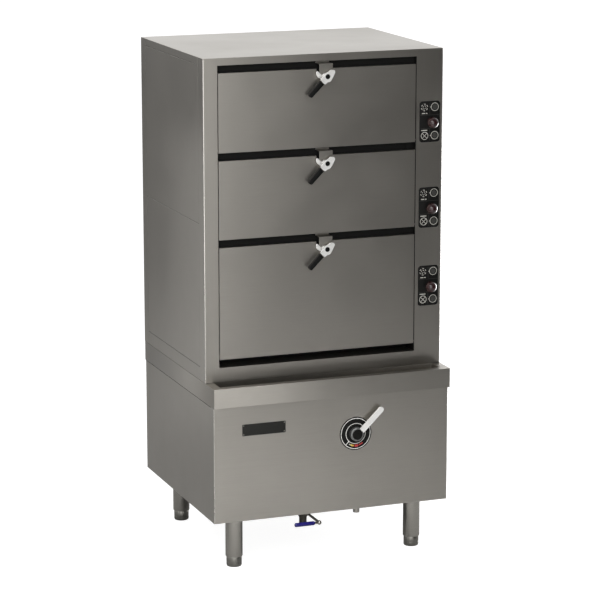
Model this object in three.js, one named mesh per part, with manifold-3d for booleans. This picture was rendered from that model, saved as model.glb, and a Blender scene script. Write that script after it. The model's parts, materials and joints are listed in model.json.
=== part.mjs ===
// Three-door gas steamer cabinet with its tank, riser, burner and drain.
// Millimetres. X runs to the right, Y from the apron's front edge to the back, Z up from the floor.

import * as THREE from 'three';
import { mergeVertices } from 'three/addons/utils/BufferGeometryUtils.js';
import Module from 'manifold-3d';

const wasm = await Module();
wasm.setup();

// Overall sizes
const cabinetWidth = 900;
const cabinetDepth = 800;
const cabinetHeight = 1826;
const legHeight = 188;
const baseHeight = 422;
const apronHeight = 70;
const faceSetback = 96;
const baseFrontInset = 14;
const baseSideInset = 3;
const baseBackInset = 1.5;

// Sheet, gaps and cutters
const skin = 1.5;
const linerSheet = 1.2;
const seamGap = 1.2;
const partGap = 0.3;
const overrun = 5;
const sheetCorner = 3;

// Face opening
const leftStile = 53;
const rightStile = 102;
const topRail = 26;
const bottomRail = 52;
const openingReturn = 80;
const frontReturn = 53;
const backReturn = 52;
const sideFlange = 25.6;
const sidePlinth = 48.6;
const sideSeamRise = 54;

// Doors, listed from the top one down: their shares of the opening's height less its gaps
const doorShares = [0.2908, 0.2908, 0.4184];
const topDoorGap = 27;
const bottomDoorGap = 29;
const doorGap = 28;
const doorSideGap = 3;
const doorThickness = 15;
const plugDepth = 10;
const plugClearance = 6;
const plugCorner = 6;

// Chamber mouths, seals and their carrier
const carrierSetback = 20;
const carrierSheet = 4;
const mouthSideMargin = 30;
const mouthBottomMargin = 30;
const mouthTopMargin = 30;
const mouthCorner = 3.6;
const sealInset = 2;
const sealWidth = 12;
const carrierLap = 4;
const chamberBackGap = 109.7;
const linerFlange = 9;
const linerDrainRadius = 8;
const linerDrainInset = 24;

// Racks and their rails
const rackHeight = 16;
const rackSheet = 6;
const rackSideGap = 4;
const rackBorder = 22;
const rackSlots = 14;
const rackSlotWidth = 24;
const railWidth = 16;
const railSheet = 2;

// Door hinge
const pinRadius = 3.5;
const pinCollarRadius = 6;
const pinCollarLength = 5;
const bushRadius = 7;
const bushLength = 12;

// Latch and keeper, measured from the door's top edge and face
const latchX = -2.6;
const latchDrop = 24.5;
const latchPostRadius = 9;
const latchSpindleRadius = 4.7;
const latchHoleRadius = 5;
const latchWasherRadius = 8;
const latchWasher = 3;
const latchHeadProud = 36;
const latchHeadSheet = 5.5;
const latchWingProud = 12;
const latchWingSheet = 5;
const latchScrewRadius = 8.6;
const latchScrewDepth = 1;
const gripProud = 36;
const gripDepth = 16;
const gripWidth = 18;
const gripStart = 28.5;
const gripLength = 66;
const gripEndRadius = 7;
const gripAngle = 226;
const tangWidth = 9;
const tangLength = 38;
const tangSetback = 4;
const tangSheet = 6;
const keeperWidth = 50;
const keeperProud = 17;
const keeperSheet = 2;
const keeperRise = 17;
const keeperDrop = 12;
const keeperTab = 7;
const keeperCorner = 4;
const notchClearance = 4;
const notchDrop = 14;

// Control plates, ball knobs and steam dampers
const controlRises = [70.5, 67, 209];
const plateWidth = 79;
const plateHeight = 147;
const plateSheet = 0.8;
const plateCorner = 11;
const plateEdge = 10.4;
const ballRadius = 20;
const ballProud = 29;
const ballFlat = 6.5;
const ballBore = 14;
const rodRadius = 5;
const damperRadius = 17;
const damperSheet = 3;
const seatRadius = 14;
const glandRadius = 11;
const glandLength = 14;

// Steam riser and its valve boxes
const riserWidth = 48;
const riserDepth = 52;
const riserFront = 300;
const riserSheet = 1.5;
const valveBoxDepth = 70;
const valveBoxHeight = 72;
const steamPipeRadius = 16;
const steamPipeWall = 2;

// Gutter trough in the deck, with its drain pipe
const troughRimFront = 27;
const troughRimSide = 32;
const troughDepth = 60;
const troughCorner = 1.8;
const drainPipeX = 119;
const drainPipeY = 80;
const drainPipeRadius = 12;
const drainPipeWall = 1.6;
const drainPipeDrop = 33.6;

// Water tank
const tankSideGap = 20;
const tankFront = 150;
const tankBackGap = 60;
const tankDepth = 180;
const tankFlange = 7;
const tankCorner = 18;

// Carcass frame
const frameSheet = 3;
const framePostFace = 30;
const framePostSide = 70;
const frameRail = 40;
const frameBar = 20;
const frameCrossBar = 25;
const supportFront = 185;
const supportBackGap = 150;
const crossBackGap = 75;
const tieLift = 8;

// Flue and louvres
const flueHalfWidth = 150;
const flueDepth = 44;
const flueBackGap = 2;
const flueDrop = 126;
const flueSheet = 1.5;
const louvreRows = 6;
const louvrePitch = 16;
const louvreHeight = 6;
const louvreWidth = 240;

// Legs and adjustable feet
const legInsetX = 105.5;
const legInsetY = 99;
const legRadius = 31;
const legWall = 2;
const legPlate = 92;
const legPlateSheet = 3;
const legPlateCorner = 8;
const legInsert = 8;
const footHeight = 37.7;
const footRadius = 27.6;
const footChamfer = 6;
const footStemRadius = 8;
const footStemLength = 60;

// Front panel items
const panelReturn = 21.5;
const dialX = 88.5;
const dialDrop = 141.5;
const dialRadius = 61;
const dialSheet = 1;
const hubRadius = 25;
const hubProud = 19.5;
const hubChamfer = 2;
const capRadius = 19;
const capProud = 2;
const spindleRadius = 6;
const leverAngle = 44;
const leverWidth = 21;
const leverSheet = 5;
const leverRoot = 19;
const leverReach = 122.5;
const leverProud = 25;

// Gas valve, pipes and burner
const gasInletX = 300;
const gasInletRise = 74;
const valveRadius = 16;
const valveLength = 52;
const valveBore = 12;
const valveNutRadius = 13;
const gasPipeRadius = 8;
const burnerRadius = 120;
const burnerRise = 172;
const burnerThickness = 34;
const burnerRingDepth = 9;
const burnerRingWidth = 20;
const burnerLegRadius = 8;
const burnerLegShare = 0.75;

// Drain valve, its rod and grip
const drainX = -46;
const drainY = 190;
const drainDrop = 40;
const drainBodyRadius = 22;
const drainBodyHalf = 26;
const drainPortRadius = 14;
const drainPortLength = 22;
const stemLength = 12;
const handleRodRadius = 4.8;
const handleFront = 24;
const handleEndRadius = 8.2;
const gripTubeRadius = 7.5;
const gripTubeStart = 19;
const gripTubeLength = 75;
const gripTubeWall = 2.4;

// Facets round a full turn, steps in a quarter turn of an outline's corner, and the grid that all
// points lie on
const fineFacets = 20;
const coarseFacets = 14;
const hiddenFacets = 8;
const cornerSteps = 2;
const grainsPerMm = 1024;

// Places worked out from the sizes above
const halfWidth = cabinetWidth / 2;
const baseTop = legHeight + baseHeight;
const deckTop = baseTop + apronHeight;
const face = faceSetback;
const carrierFace = face + carrierSetback;
const openingLeft = -halfWidth + leftStile;
const openingRight = halfWidth - rightStile;
const openingBottom = deckTop + bottomRail;
const openingTop = cabinetHeight - topRail;
const doorLeft = openingLeft + doorSideGap;
const doorRight = openingRight - doorSideGap;
const doorBack = face + doorThickness;
const mouthLeft = openingLeft + mouthSideMargin;
const mouthRight = openingRight - mouthSideMargin;
const linerFront = carrierFace + carrierSheet + partGap;
const linerBack = cabinetDepth - chamberBackGap;
const basePanelFace = baseFrontInset;
const baseHalf = halfWidth - baseSideInset;
const baseBack = cabinetDepth - baseBackInset;
const troughFloor = deckTop - troughDepth;
const tankBottom = deckTop - tankDepth;
const tankHalfWidth = halfWidth - tankSideGap;
const tankBack = cabinetDepth - tankBackGap;
const supportBack = cabinetDepth - supportBackGap;
const crossBack = cabinetDepth - crossBackGap;
const flueTop = cabinetHeight - flueDrop;
const dialHeight = baseTop - dialDrop;
const gasInletHeight = legHeight + gasInletRise;
const burnerY = (tankFront + tankBack) / 2;
const burnerHeight = legHeight + burnerRise;
const drainHeight = legHeight - drainDrop;
const coverTop = deckTop + skin + skin;
const controlX = halfWidth - plateEdge - plateWidth / 2;
const steamPortY = riserFront - valveBoxDepth / 2;
const hingeY = face + doorThickness / 2;
const turn = 2 * Math.PI;
const degree = Math.PI / 180;

// Doors from the top down: each door's bottom, top and mouth heights
const doors = [];
const doorGaps = topDoorGap + bottomDoorGap + doorGap * (doorShares.length - 1);
const doorStack = openingTop - openingBottom - doorGaps;
let doorTop = openingTop - topDoorGap;
doorShares.forEach((share, i) => {
  const bottom = doorTop - doorStack * share;
  doors.push({
    number: i + 1,
    top: doorTop,
    bottom,
    hinge: bottom + doorThickness / 2,
    mouthBottom: bottom + mouthBottomMargin,
    mouthTop: doorTop - mouthTopMargin,
    latch: doorTop - latchDrop,
    control: bottom + controlRises[i],
  });
  doorTop = bottom - doorGap;
});
const sideSeamHeight = doors[1].bottom + sideSeamRise;

// Outlines

function polygon(points) {
  return new THREE.Shape(points.map(([x, y]) => new THREE.Vector2(x, y)));
}

function rectangle(left, bottom, right, top) {
  return polygon([[left, bottom], [right, bottom], [right, top], [left, top]]);
}

function roundedRectangle(left, bottom, right, top, radius) {
  const corners = [
    [right - radius, bottom + radius], [right - radius, top - radius],
    [left + radius, top - radius], [left + radius, bottom + radius],
  ];
  return polygon(corners.flatMap(([x, y], quarter) => {
    const points = [];
    for (let step = 0; step <= cornerSteps; step += 1) {
      const angle = (quarter - 1 + step / cornerSteps) * Math.PI / 2;
      points.push([x + radius * Math.cos(angle), y + radius * Math.sin(angle)]);
    }
    return points;
  }));
}

// A folded sheet seen on its edge: the fold line, and the same line moved to its left by the
// sheet's thickness with mitred corners.
function foldedSheet(points, thickness) {
  const line = points.map(([x, y]) => new THREE.Vector2(x, y));
  const normals = line.slice(1).map((point, i) => {
    const along = point.clone().sub(line[i]).normalize();
    return new THREE.Vector2(-along.y, along.x);
  });
  const moved = line.map((point, i) => {
    const before = normals[Math.max(i - 1, 0)];
    const after = normals[Math.min(i, normals.length - 1)];
    const mitre = before.clone().add(after).normalize();
    return point.clone().addScaledVector(mitre, thickness / mitre.dot(before));
  });
  return new THREE.Shape([...line, ...moved.reverse()]);
}

// Solids from outlines

// Outline points with those that repeat the one before them left out
function distinctPoints(outline) {
  const points = outline.getPoints(cornerSteps);
  const tiny = Number.EPSILON ** 0.5;
  return points.filter((point, i) => point.distanceTo(points.at(i - 1)) > tiny);
}

function extrude(shape, length) {
  const clean = new THREE.Shape(distinctPoints(shape));
  return new THREE.ExtrudeGeometry(clean, { depth: length, bevelEnabled: false });
}

function turned(geometry, xAxis, yAxis, zAxis) {
  const basis = new THREE.Matrix4().makeBasis(
    new THREE.Vector3(...xAxis), new THREE.Vector3(...yAxis), new THREE.Vector3(...zAxis));
  return geometry.applyMatrix4(basis);
}

// An outline in X and Z, extruded from front to back
function drawnAlongY(shape, front, back) {
  const geometry = turned(extrude(shape, back - front), [1, 0, 0], [0, 0, 1], [0, -1, 0]);
  return geometry.translate(0, back, 0);
}

function alongY(shape, front, back) {
  return toSolid(drawnAlongY(shape, front, back));
}

// An outline in Y and Z, extruded from left to right
function alongX(shape, left, right) {
  const geometry = turned(extrude(shape, right - left), [0, 1, 0], [0, 0, 1], [1, 0, 0]);
  return toSolid(geometry.translate(left, 0, 0));
}

// An outline in X and Y, extruded upwards
function alongZ(shape, bottom, top) {
  return toSolid(extrude(shape, top - bottom).translate(0, 0, bottom));
}

function block(left, right, front, back, bottom, top) {
  return alongZ(rectangle(left, front, right, back), bottom, top);
}

// A profile of radius and height turned about the Z axis, then moved to its place
function turnedUp(profile, x, y, z, facets = coarseFacets) {
  return toSolid(revolve(profile, facets).rotateX(Math.PI / 2).translate(x, y, z));
}

// A profile of radius and distance to the back, turned about an axis that runs along Y
function turnedBack(profile, x, y, z, facets = coarseFacets) {
  return toSolid(revolve(profile, facets).translate(x, y, z));
}

// A profile of radius and distance to the right, turned about an axis that runs along X
function turnedRight(profile, x, y, z, facets = coarseFacets) {
  return toSolid(revolve(profile, facets).rotateZ(-Math.PI / 2).translate(x, y, z));
}

function revolve(profile, facets) {
  return new THREE.LatheGeometry(profile.map(([r, h]) => new THREE.Vector2(r, h)), facets);
}

// A solid rod's profile from one end to the other
function rodProfile(radius, start, end) {
  return [[0, start], [radius, start], [radius, end], [0, end]];
}

// A ring's profile, closed on itself
function ringProfile(inner, outer, start, end) {
  return [[inner, start], [outer, start], [outer, end], [inner, end], [inner, start]];
}

// A round pipe through a list of corner points, with the corners rounded by the bend radius: a
// closed skin over a ring of points at each place of the line
function bentPipe(corners, radius, bend) {
  const points = corners.map((corner) => new THREE.Vector3(...corner));
  const line = points.flatMap((corner, i) => {
    if (i === 0 || i === points.length - 1) return [corner];
    const [inward, outward] = [points[i - 1], points[i + 1]].map((next) => (
      next.clone().sub(corner).normalize().multiplyScalar(bend).add(corner)));
    return new THREE.QuadraticBezierCurve3(inward, corner, outward).getPoints(cornerSteps);
  });
  const along = line.map((_, i) => {
    const after = line[Math.min(i + 1, line.length - 1)];
    return after.clone().sub(line[Math.max(i - 1, 0)]).normalize();
  });
  const side = new THREE.Vector3(1, 2, 3).cross(along[0]).normalize();
  const rings = line.map((centre, i) => {
    side.addScaledVector(along[i], -side.dot(along[i])).normalize();
    const up = along[i].clone().cross(side);
    return Array.from({ length: hiddenFacets }, (_, k) => {
      const angle = turn * k / hiddenFacets;
      return centre.clone().addScaledVector(side, radius * Math.cos(angle))
        .addScaledVector(up, radius * Math.sin(angle));
    });
  });
  const skinPoints = [];
  const next = (k) => (k + 1) % hiddenFacets;
  for (let k = 0; k < hiddenFacets; k += 1) {
    for (let i = 0; i + 1 < rings.length; i += 1) {
      const [a, b, c, d] = [rings[i][k], rings[i][next(k)], rings[i + 1][next(k)], rings[i + 1][k]];
      skinPoints.push(a, b, c, a, c, d);
    }
    skinPoints.push(line[0], rings[0][next(k)], rings[0][k]);
    skinPoints.push(line.at(-1), rings.at(-1)[k], rings.at(-1)[next(k)]);
  }
  return toSolid(new THREE.BufferGeometry().setFromPoints(skinPoints));
}

// Closed geometry made a solid: shared corners are merged, empty triangles dropped, and the
// triangles are turned round where they face inwards.
function toSolid(geometry) {
  const bare = geometry.clone();
  bare.deleteAttribute('normal');
  bare.deleteAttribute('uv');
  const welded = mergeVertices(bare);
  const corners = welded.attributes.position.array;
  const triangles = [];
  for (let i = 0; i < welded.index.count; i += 3) {
    const [a, b, c] = [0, 1, 2].map((k) => welded.index.getX(i + k));
    if (a !== b && b !== c && c !== a) triangles.push([a, b, c]);
  }
  const point = (i) => new THREE.Vector3().fromArray(corners, 3 * i);
  const volume = triangles.reduce((sum, [a, b, c]) => sum + point(a).dot(point(b).cross(point(c))), 0);
  const outward = triangles.map(([a, b, c]) => (volume < 0 ? [a, c, b] : [a, b, c]));
  return new wasm.Manifold(new wasm.Mesh({
    numProp: 3,
    vertProperties: new Float32Array(corners),
    triVerts: new Uint32Array(outward.flat()),
  }));
}

function join(...solids) {
  return solids.flat().reduce((whole, solid) => whole.add(solid));
}

function cut(solid, ...tools) {
  return tools.flat().reduce((rest, tool) => rest.subtract(tool), solid);
}

// A solid's points on the grid, so that flat faces that touch lie in exactly one plane
function toGeometry(solid) {
  const mesh = solid.getMesh();
  const geometry = new THREE.BufferGeometry();
  const points = mesh.vertProperties.map((value) => Math.round(value * grainsPerMm) / grainsPerMm);
  geometry.setAttribute('position', new THREE.BufferAttribute(points, 3));
  geometry.setIndex(new THREE.BufferAttribute(new Uint32Array(mesh.triVerts), 1));
  const faceted = geometry.toNonIndexed();
  faceted.computeVertexNormals();
  return faceted;
}

// Materials by finish: colour, metalness and roughness
const finishes = {
  brushedSteel: { color: 0x8d8b84, metalness: 0.9, roughness: 0.38 },
  linerSteel: { color: 0xa5a49e, metalness: 0.9, roughness: 0.3 },
  frameSteel: { color: 0x6f6f6c, metalness: 0.7, roughness: 0.5 },
  brightMetal: { color: 0xdedddb, metalness: 0.6, roughness: 0.25 },
  blackSteel: { color: 0x1a1a19, metalness: 0.2, roughness: 0.6 },
  blackPlastic: { color: 0x1c1c1b, metalness: 0, roughness: 0.42 },
  plateInk: { color: 0x222220, metalness: 0, roughness: 0.4 },
  ballResin: { color: 0x4a1c1f, metalness: 0, roughness: 0.12 },
  bluePlastic: { color: 0x151071, metalness: 0, roughness: 0.35 },
  rubber: { color: 0x232322, metalness: 0, roughness: 0.8 },
  castIron: { color: 0x3b3a38, metalness: 0.6, roughness: 0.7 },
  brass: { color: 0xb08d4a, metalness: 0.9, roughness: 0.35 },
};

const cabinet = new THREE.Group();

function addPart(name, solid, finish) {
  const mesh = new THREE.Mesh(toGeometry(solid), new THREE.MeshStandardMaterial(finishes[finish]));
  mesh.name = name;
  cabinet.add(mesh);
}

// Base: a stand with its floor and four legs, front panel, skirt

function legPlaces() {
  const x = halfWidth - legInsetX;
  const back = cabinetDepth - legInsetY;
  return [
    ['front_left', -x, legInsetY], ['front_right', x, legInsetY],
    ['back_left', -x, back], ['back_right', x, back],
  ];
}

function legTube(x, y) {
  const plateBottom = legHeight - legPlateSheet;
  const profile = [
    [footStemRadius + partGap, footHeight], [legRadius, footHeight], [legRadius, plateBottom],
    [legRadius - legWall, plateBottom], [legRadius - legWall, footHeight + legInsert],
    [footStemRadius + partGap, footHeight + legInsert], [footStemRadius + partGap, footHeight],
  ];
  const half = legPlate / 2;
  const plate = alongZ(roundedRectangle(x - half, y - half, x + half, y + half, legPlateCorner),
    plateBottom, legHeight);
  return turnedUp(profile, x, y, 0).add(plate);
}

function legStand() {
  const edge = baseHalf - skin - partGap;
  const slotWidth = burnerRadius / 8;
  const slots = [-3, -2, -1, 0, 1, 2, 3].map((i) => {
    const middle = i * 2 * slotWidth;
    return block(middle - slotWidth / 2, middle + slotWidth / 2, burnerY - burnerRadius / 2,
      burnerY + burnerRadius / 2, legHeight - overrun, legHeight + overrun);
  });
  const floor = block(-edge, edge, basePanelFace + skin + partGap,
    cabinetDepth - baseBackInset - skin - partGap, legHeight, legHeight + skin);
  const holes = [
    turnedUp(rodProfile(drainPortRadius + seamGap, -overrun, overrun), drainX, drainY, legHeight),
    turnedUp(rodProfile(drainPipeRadius + seamGap, -overrun, overrun), drainPipeX, drainPipeY, legHeight),
  ];
  return cut(join(floor, legPlaces().map(([, x, y]) => legTube(x, y))), slots, holes);
}

// A tray with its edges folded back from the front sheet
function frontTray(outline, inner, front, back, sheet) {
  return cut(alongY(outline, front, back), alongY(inner, front + sheet, back + overrun));
}

function baseFrontPanel() {
  const top = troughFloor - skin - partGap;
  const outline = rectangle(-baseHalf, legHeight, baseHalf, top);
  const inner = rectangle(-baseHalf + skin, legHeight + skin, baseHalf - skin, top - skin);
  const tray = frontTray(outline, inner, basePanelFace, basePanelFace + panelReturn, skin);
  const floorRoom = block(-baseHalf + skin, baseHalf - skin, basePanelFace + skin,
    basePanelFace + panelReturn + overrun, legHeight - overrun, legHeight + skin + partGap);
  const shaftHole = turnedBack(rodProfile(spindleRadius + partGap, -overrun, overrun),
    dialX, basePanelFace, dialHeight);
  return cut(tray, floorRoom, shaftHole);
}

function baseSkirt() {
  const front = basePanelFace + panelReturn + partGap;
  const outline = foldedSheet(
    [[-baseHalf, front], [-baseHalf, baseBack], [baseHalf, baseBack], [baseHalf, front]], -skin);
  const gasHole = turnedBack(rodProfile(gasPipeRadius + partGap, -overrun, overrun),
    gasInletX, baseBack, gasInletHeight);
  const vents = [];
  for (let row = 0; row < louvreRows; row += 1) {
    const middle = baseTop - apronHeight - row * louvrePitch;
    vents.push(block(-louvreWidth / 2, louvreWidth / 2, baseBack - overrun, baseBack + overrun,
      middle, middle + louvreHeight));
  }
  return cut(alongZ(outline, legHeight, deckTop - skin), gasHole, vents);
}

function foot(x, y) {
  const top = footHeight - partGap;
  const profile = [
    [0, 0], [footRadius - footChamfer, 0], [footRadius - footChamfer / 3, footChamfer / 3],
    [footRadius, footChamfer], [footRadius, top],
    [footStemRadius, top], [footStemRadius, top + footStemLength], [0, top + footStemLength],
  ];
  return turnedUp(profile, x, y, 0);
}

// Deck: an apron all round, a drip trough in front, a drain pipe and the openings for tank and flue

function gutterDeck() {
  const inset = halfWidth - skin;
  const outer = alongZ(
    roundedRectangle(-halfWidth, 0, halfWidth, cabinetDepth, sheetCorner), baseTop, deckTop);
  const inner = alongZ(
    rectangle(-inset, skin, inset, cabinetDepth - skin), baseTop - overrun, deckTop - skin);
  const troughSide = halfWidth - troughRimSide;
  const pan = block(-troughSide - skin, troughSide + skin, troughRimFront - skin, face + skin,
    troughFloor - skin, deckTop - skin);
  const trough = alongZ(
    roundedRectangle(-troughSide, troughRimFront, troughSide, face, troughCorner),
    troughFloor, deckTop + overrun);
  const pipeBottom = legHeight - drainPipeDrop;
  const pipe = turnedUp(rodProfile(drainPipeRadius, pipeBottom, troughFloor), drainPipeX, drainPipeY, 0);
  const bore = turnedUp(
    rodProfile(drainPipeRadius - drainPipeWall, pipeBottom - overrun, troughFloor + overrun),
    drainPipeX, drainPipeY, 0);
  const tankHole = alongZ(
    roundedRectangle(-tankHalfWidth - partGap, tankFront - partGap, tankHalfWidth + partGap,
      tankBack + partGap, tankCorner), baseTop, deckTop + overrun);
  const flueHole = block(-flueHalfWidth - partGap, flueHalfWidth + partGap,
    cabinetDepth - skin - flueDepth - partGap, cabinetDepth - skin, baseTop, deckTop + overrun);
  const shell = cut(outer, inner);
  return cut(join(shell, cut(pan, trough), pipe), trough, bore, tankHole, flueHole);
}

// Carcass: angles at the corners, rails behind the panel seams, bars under the chambers

function carcassFrame() {
  const side = halfWidth - skin - partGap;
  const inside = side - frameSheet;
  const frontPost = face + skin + partGap;
  const backPost = cabinetDepth - skin - partGap;
  const bottom = deckTop;
  const top = cabinetHeight - skin;
  const pieces = [];
  [-1, 1].forEach((hand) => {
    const corners = (near, far) => [
      [hand * side, far], [hand * side, near], [hand * (side - framePostFace), near],
    ];
    pieces.push(alongZ(foldedSheet(corners(frontPost, frontPost + framePostSide), -hand * frameSheet),
      bottom, top));
    pieces.push(alongZ(foldedSheet(corners(backPost, backPost - framePostSide), hand * frameSheet),
      bottom, top));
    const [left, right] = hand < 0 ? [-side, -inside] : [inside, side];
    const strip = (front, back, low, high) => pieces.push(block(left, right, front, back, low, high));
    const railFront = frontPost + framePostSide - frameSheet;
    const railBack = backPost - framePostSide + frameSheet;
    strip(railFront, railBack, bottom, deckTop + sidePlinth + frameRail / 2);
    strip(railFront, railBack, sideSeamHeight - frameRail / 2, sideSeamHeight + frameRail / 2);
    strip(railFront, railBack, top - sideFlange - frameRail / 2, top);
    [supportFront, supportBack].forEach((y) => strip(y, y + frameBar, bottom, top));
  });
  doors.forEach(({ mouthBottom }) => {
    const high = mouthBottom - linerSheet;
    [supportFront, supportBack].forEach((y) => {
      pieces.push(block(-side, side, y, y + frameBar, high - frameBar, high));
    });
  });
  [supportFront, crossBack].forEach((y) => {
    pieces.push(block(-side, side, y, y + frameCrossBar, top - frameCrossBar, top));
  });
  pieces.push(block(-side, side, crossBack, crossBack + frameCrossBar, coverTop + tieLift,
    coverTop + tieLift + frameCrossBar));
  return join(pieces);
}

// Face: one folded sheet with the door opening, its deep returns, corner returns, side plinths and
// the bushes in which the doors' pins turn

function faceFrame() {
  const bottom = deckTop + seamGap;
  const top = cabinetHeight - skin - partGap;
  const wrap = (depth) => foldedSheet([
    [-halfWidth, face + depth], [-halfWidth, face], [halfWidth, face], [halfWidth, face + depth],
  ], skin);
  const plinthTop = deckTop + sidePlinth;
  const plinth = alongZ(wrap(cabinetDepth - backReturn - seamGap - face), bottom, plinthTop);
  const body = alongZ(wrap(frontReturn), bottom, top);
  const sleeve = alongY(rectangle(openingLeft - skin, openingBottom - skin, openingRight + skin,
    openingTop + skin), face, face + openingReturn);
  const opening = alongY(rectangle(openingLeft, openingBottom, openingRight, openingTop),
    face - overrun, face + openingReturn + overrun);
  const bush = rodProfile(bushRadius, 0, bushLength + skin / 2);
  const bushes = doors.flatMap(({ hinge }) => [
    turnedRight(bush, openingLeft - skin - bushLength, hingeY, hinge, hiddenFacets),
    turnedRight(bush, openingRight + skin / 2, hingeY, hinge, hiddenFacets),
  ]);
  const holes = doors.flatMap(({ hinge, control }) => [
    turnedRight(rodProfile(pinRadius + partGap, -bushLength - overrun, overrun),
      openingLeft, hingeY, hinge, hiddenFacets),
    turnedRight(rodProfile(pinRadius + partGap, -overrun, bushLength + overrun),
      openingRight, hingeY, hinge, hiddenFacets),
    turnedBack(rodProfile(rodRadius + partGap, -overrun, overrun), controlX, face, control),
  ]);
  return cut(join(plinth, body, sleeve, bushes), opening, holes);
}

function sidePanel(hand, bottom, top) {
  const outer = hand * halfWidth;
  const inner = hand * (halfWidth - skin);
  const outline = roundedRectangle(face + frontReturn + seamGap, bottom,
    cabinetDepth - backReturn - seamGap, top, skin);
  return alongX(outline, Math.min(outer, inner), Math.max(outer, inner));
}

// Back: a folded sheet with corner returns, and the flue that rises behind the chambers and ends at
// the louvre

function louvres(front, back, topHeight) {
  const slots = [];
  for (let row = 0; row < louvreRows; row += 1) {
    const middle = topHeight - row * louvrePitch;
    slots.push(alongY(roundedRectangle(-louvreWidth / 2, middle - louvreHeight, louvreWidth / 2, middle,
      louvreHeight / 2 - partGap), front, back));
  }
  return slots;
}

function flueDuct() {
  const back = cabinetDepth - skin;
  const front = back - flueDepth;
  const bottom = tankBottom + tankDepth / 2;
  const duct = block(-flueHalfWidth, flueHalfWidth, front, back - flueBackGap, bottom, flueTop);
  const bore = block(-flueHalfWidth + flueSheet, flueHalfWidth - flueSheet, front + flueSheet,
    back - flueBackGap - flueSheet, bottom - overrun, flueTop - flueSheet);
  const mouthTop = flueTop - louvrePitch / 2;
  const mouthBottom = mouthTop - louvreRows * louvrePitch;
  const mouth = block(-louvreWidth / 2, louvreWidth / 2, front + flueSheet, back,
    mouthBottom, mouthTop);
  const collar = block(-louvreWidth / 2 - flueSheet, louvreWidth / 2 + flueSheet,
    back - flueBackGap - flueSheet, back + skin / 2, mouthBottom - flueSheet, mouthTop + flueSheet);
  return cut(join(duct, collar), bore, mouth);
}

function backPanel() {
  const outline = foldedSheet([
    [-halfWidth, cabinetDepth - backReturn], [-halfWidth, cabinetDepth],
    [halfWidth, cabinetDepth], [halfWidth, cabinetDepth - backReturn],
  ], -skin);
  const panel = alongZ(outline, deckTop + seamGap, cabinetHeight - skin - partGap);
  return cut(join(panel, flueDuct()),
    louvres(cabinetDepth - skin - flueBackGap / 2, cabinetDepth + overrun, flueTop - louvrePitch));
}

function topCover() {
  const sheet = alongZ(roundedRectangle(-halfWidth, face, halfWidth, cabinetDepth, sheetCorner),
    cabinetHeight - skin, cabinetHeight);
  const front = face + frontReturn + seamGap;
  const back = cabinetDepth - backReturn - seamGap;
  const flange = (left, right) => block(left, right, front, back, cabinetHeight - sideFlange,
    cabinetHeight - skin / 2);
  return join(sheet, flange(-halfWidth, -halfWidth + skin), flange(halfWidth - skin, halfWidth));
}

// Chamber fronts: a black carrier with three mouths, set back behind the face, and its seals

function sealCarrier() {
  const left = openingLeft + partGap;
  const right = openingRight - partGap;
  const low = doors[doors.length - 1].bottom + carrierLap;
  const plate = alongY(rectangle(left, low, right, openingTop - partGap),
    carrierFace, carrierFace + carrierSheet);
  const back = face + openingReturn;
  const lip = alongX(foldedSheet([
    [carrierFace + carrierSheet / 2, low], [back, low], [back, openingBottom + partGap],
  ], carrierSheet / 2), left, right);
  const mouths = doors.map(({ mouthBottom, mouthTop }) => alongY(
    roundedRectangle(mouthLeft, mouthBottom, mouthRight, mouthTop, mouthCorner),
    carrierFace - overrun, carrierFace + carrierSheet + overrun));
  return cut(join(plate, lip), mouths);
}

function doorSeal({ mouthBottom, mouthTop }) {
  const front = doorBack + partGap;
  const back = carrierFace - partGap;
  const ring = (grow, near, far) => alongY(roundedRectangle(mouthLeft - grow, mouthBottom - grow,
    mouthRight + grow, mouthTop + grow, mouthCorner + grow), near, far);
  const middle = (front + back) / 2;
  const base = ring(sealInset + sealWidth, middle, back);
  const lip = ring(sealInset + sealWidth * 2 / 3, front, middle);
  return cut(join(base, lip), ring(sealInset, middle - overrun, back + overrun),
    ring(sealInset + sealWidth / 3, front - overrun, middle));
}

// Chambers: an open box with a front flange, rack rails, a steam port and a drain hole

function chamberLiner({ mouthBottom, mouthTop, control }) {
  const box = (grow) => roundedRectangle(mouthLeft - grow, mouthBottom - grow, mouthRight + grow,
    mouthTop + grow, mouthCorner + grow);
  const shell = alongY(box(linerSheet), linerFront, linerBack);
  const flange = alongY(box(linerFlange), linerFront, linerFront + linerSheet);
  const hollow = alongY(box(0), linerFront - overrun, linerBack - linerSheet);
  const railTop = mouthBottom + rackHeight;
  const railFront = linerFront + linerFlange;
  const rail = (wall, inward) => alongY(foldedSheet([
    [wall, railTop - railWidth], [wall, railTop], [wall + inward * railWidth, railTop],
  ], -inward * railSheet), railFront, linerBack - linerSheet);
  const port = turnedRight(rodProfile(steamPipeRadius - steamPipeWall, -overrun, overrun),
    mouthRight, steamPortY, control, hiddenFacets);
  const drain = turnedUp(rodProfile(linerDrainRadius, -overrun, overrun),
    mouthLeft + linerDrainInset, linerBack - linerDrainInset, mouthBottom, hiddenFacets);
  return cut(join(cut(join(shell, flange), hollow), rail(mouthLeft, 1), rail(mouthRight, -1)),
    port, drain);
}

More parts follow.
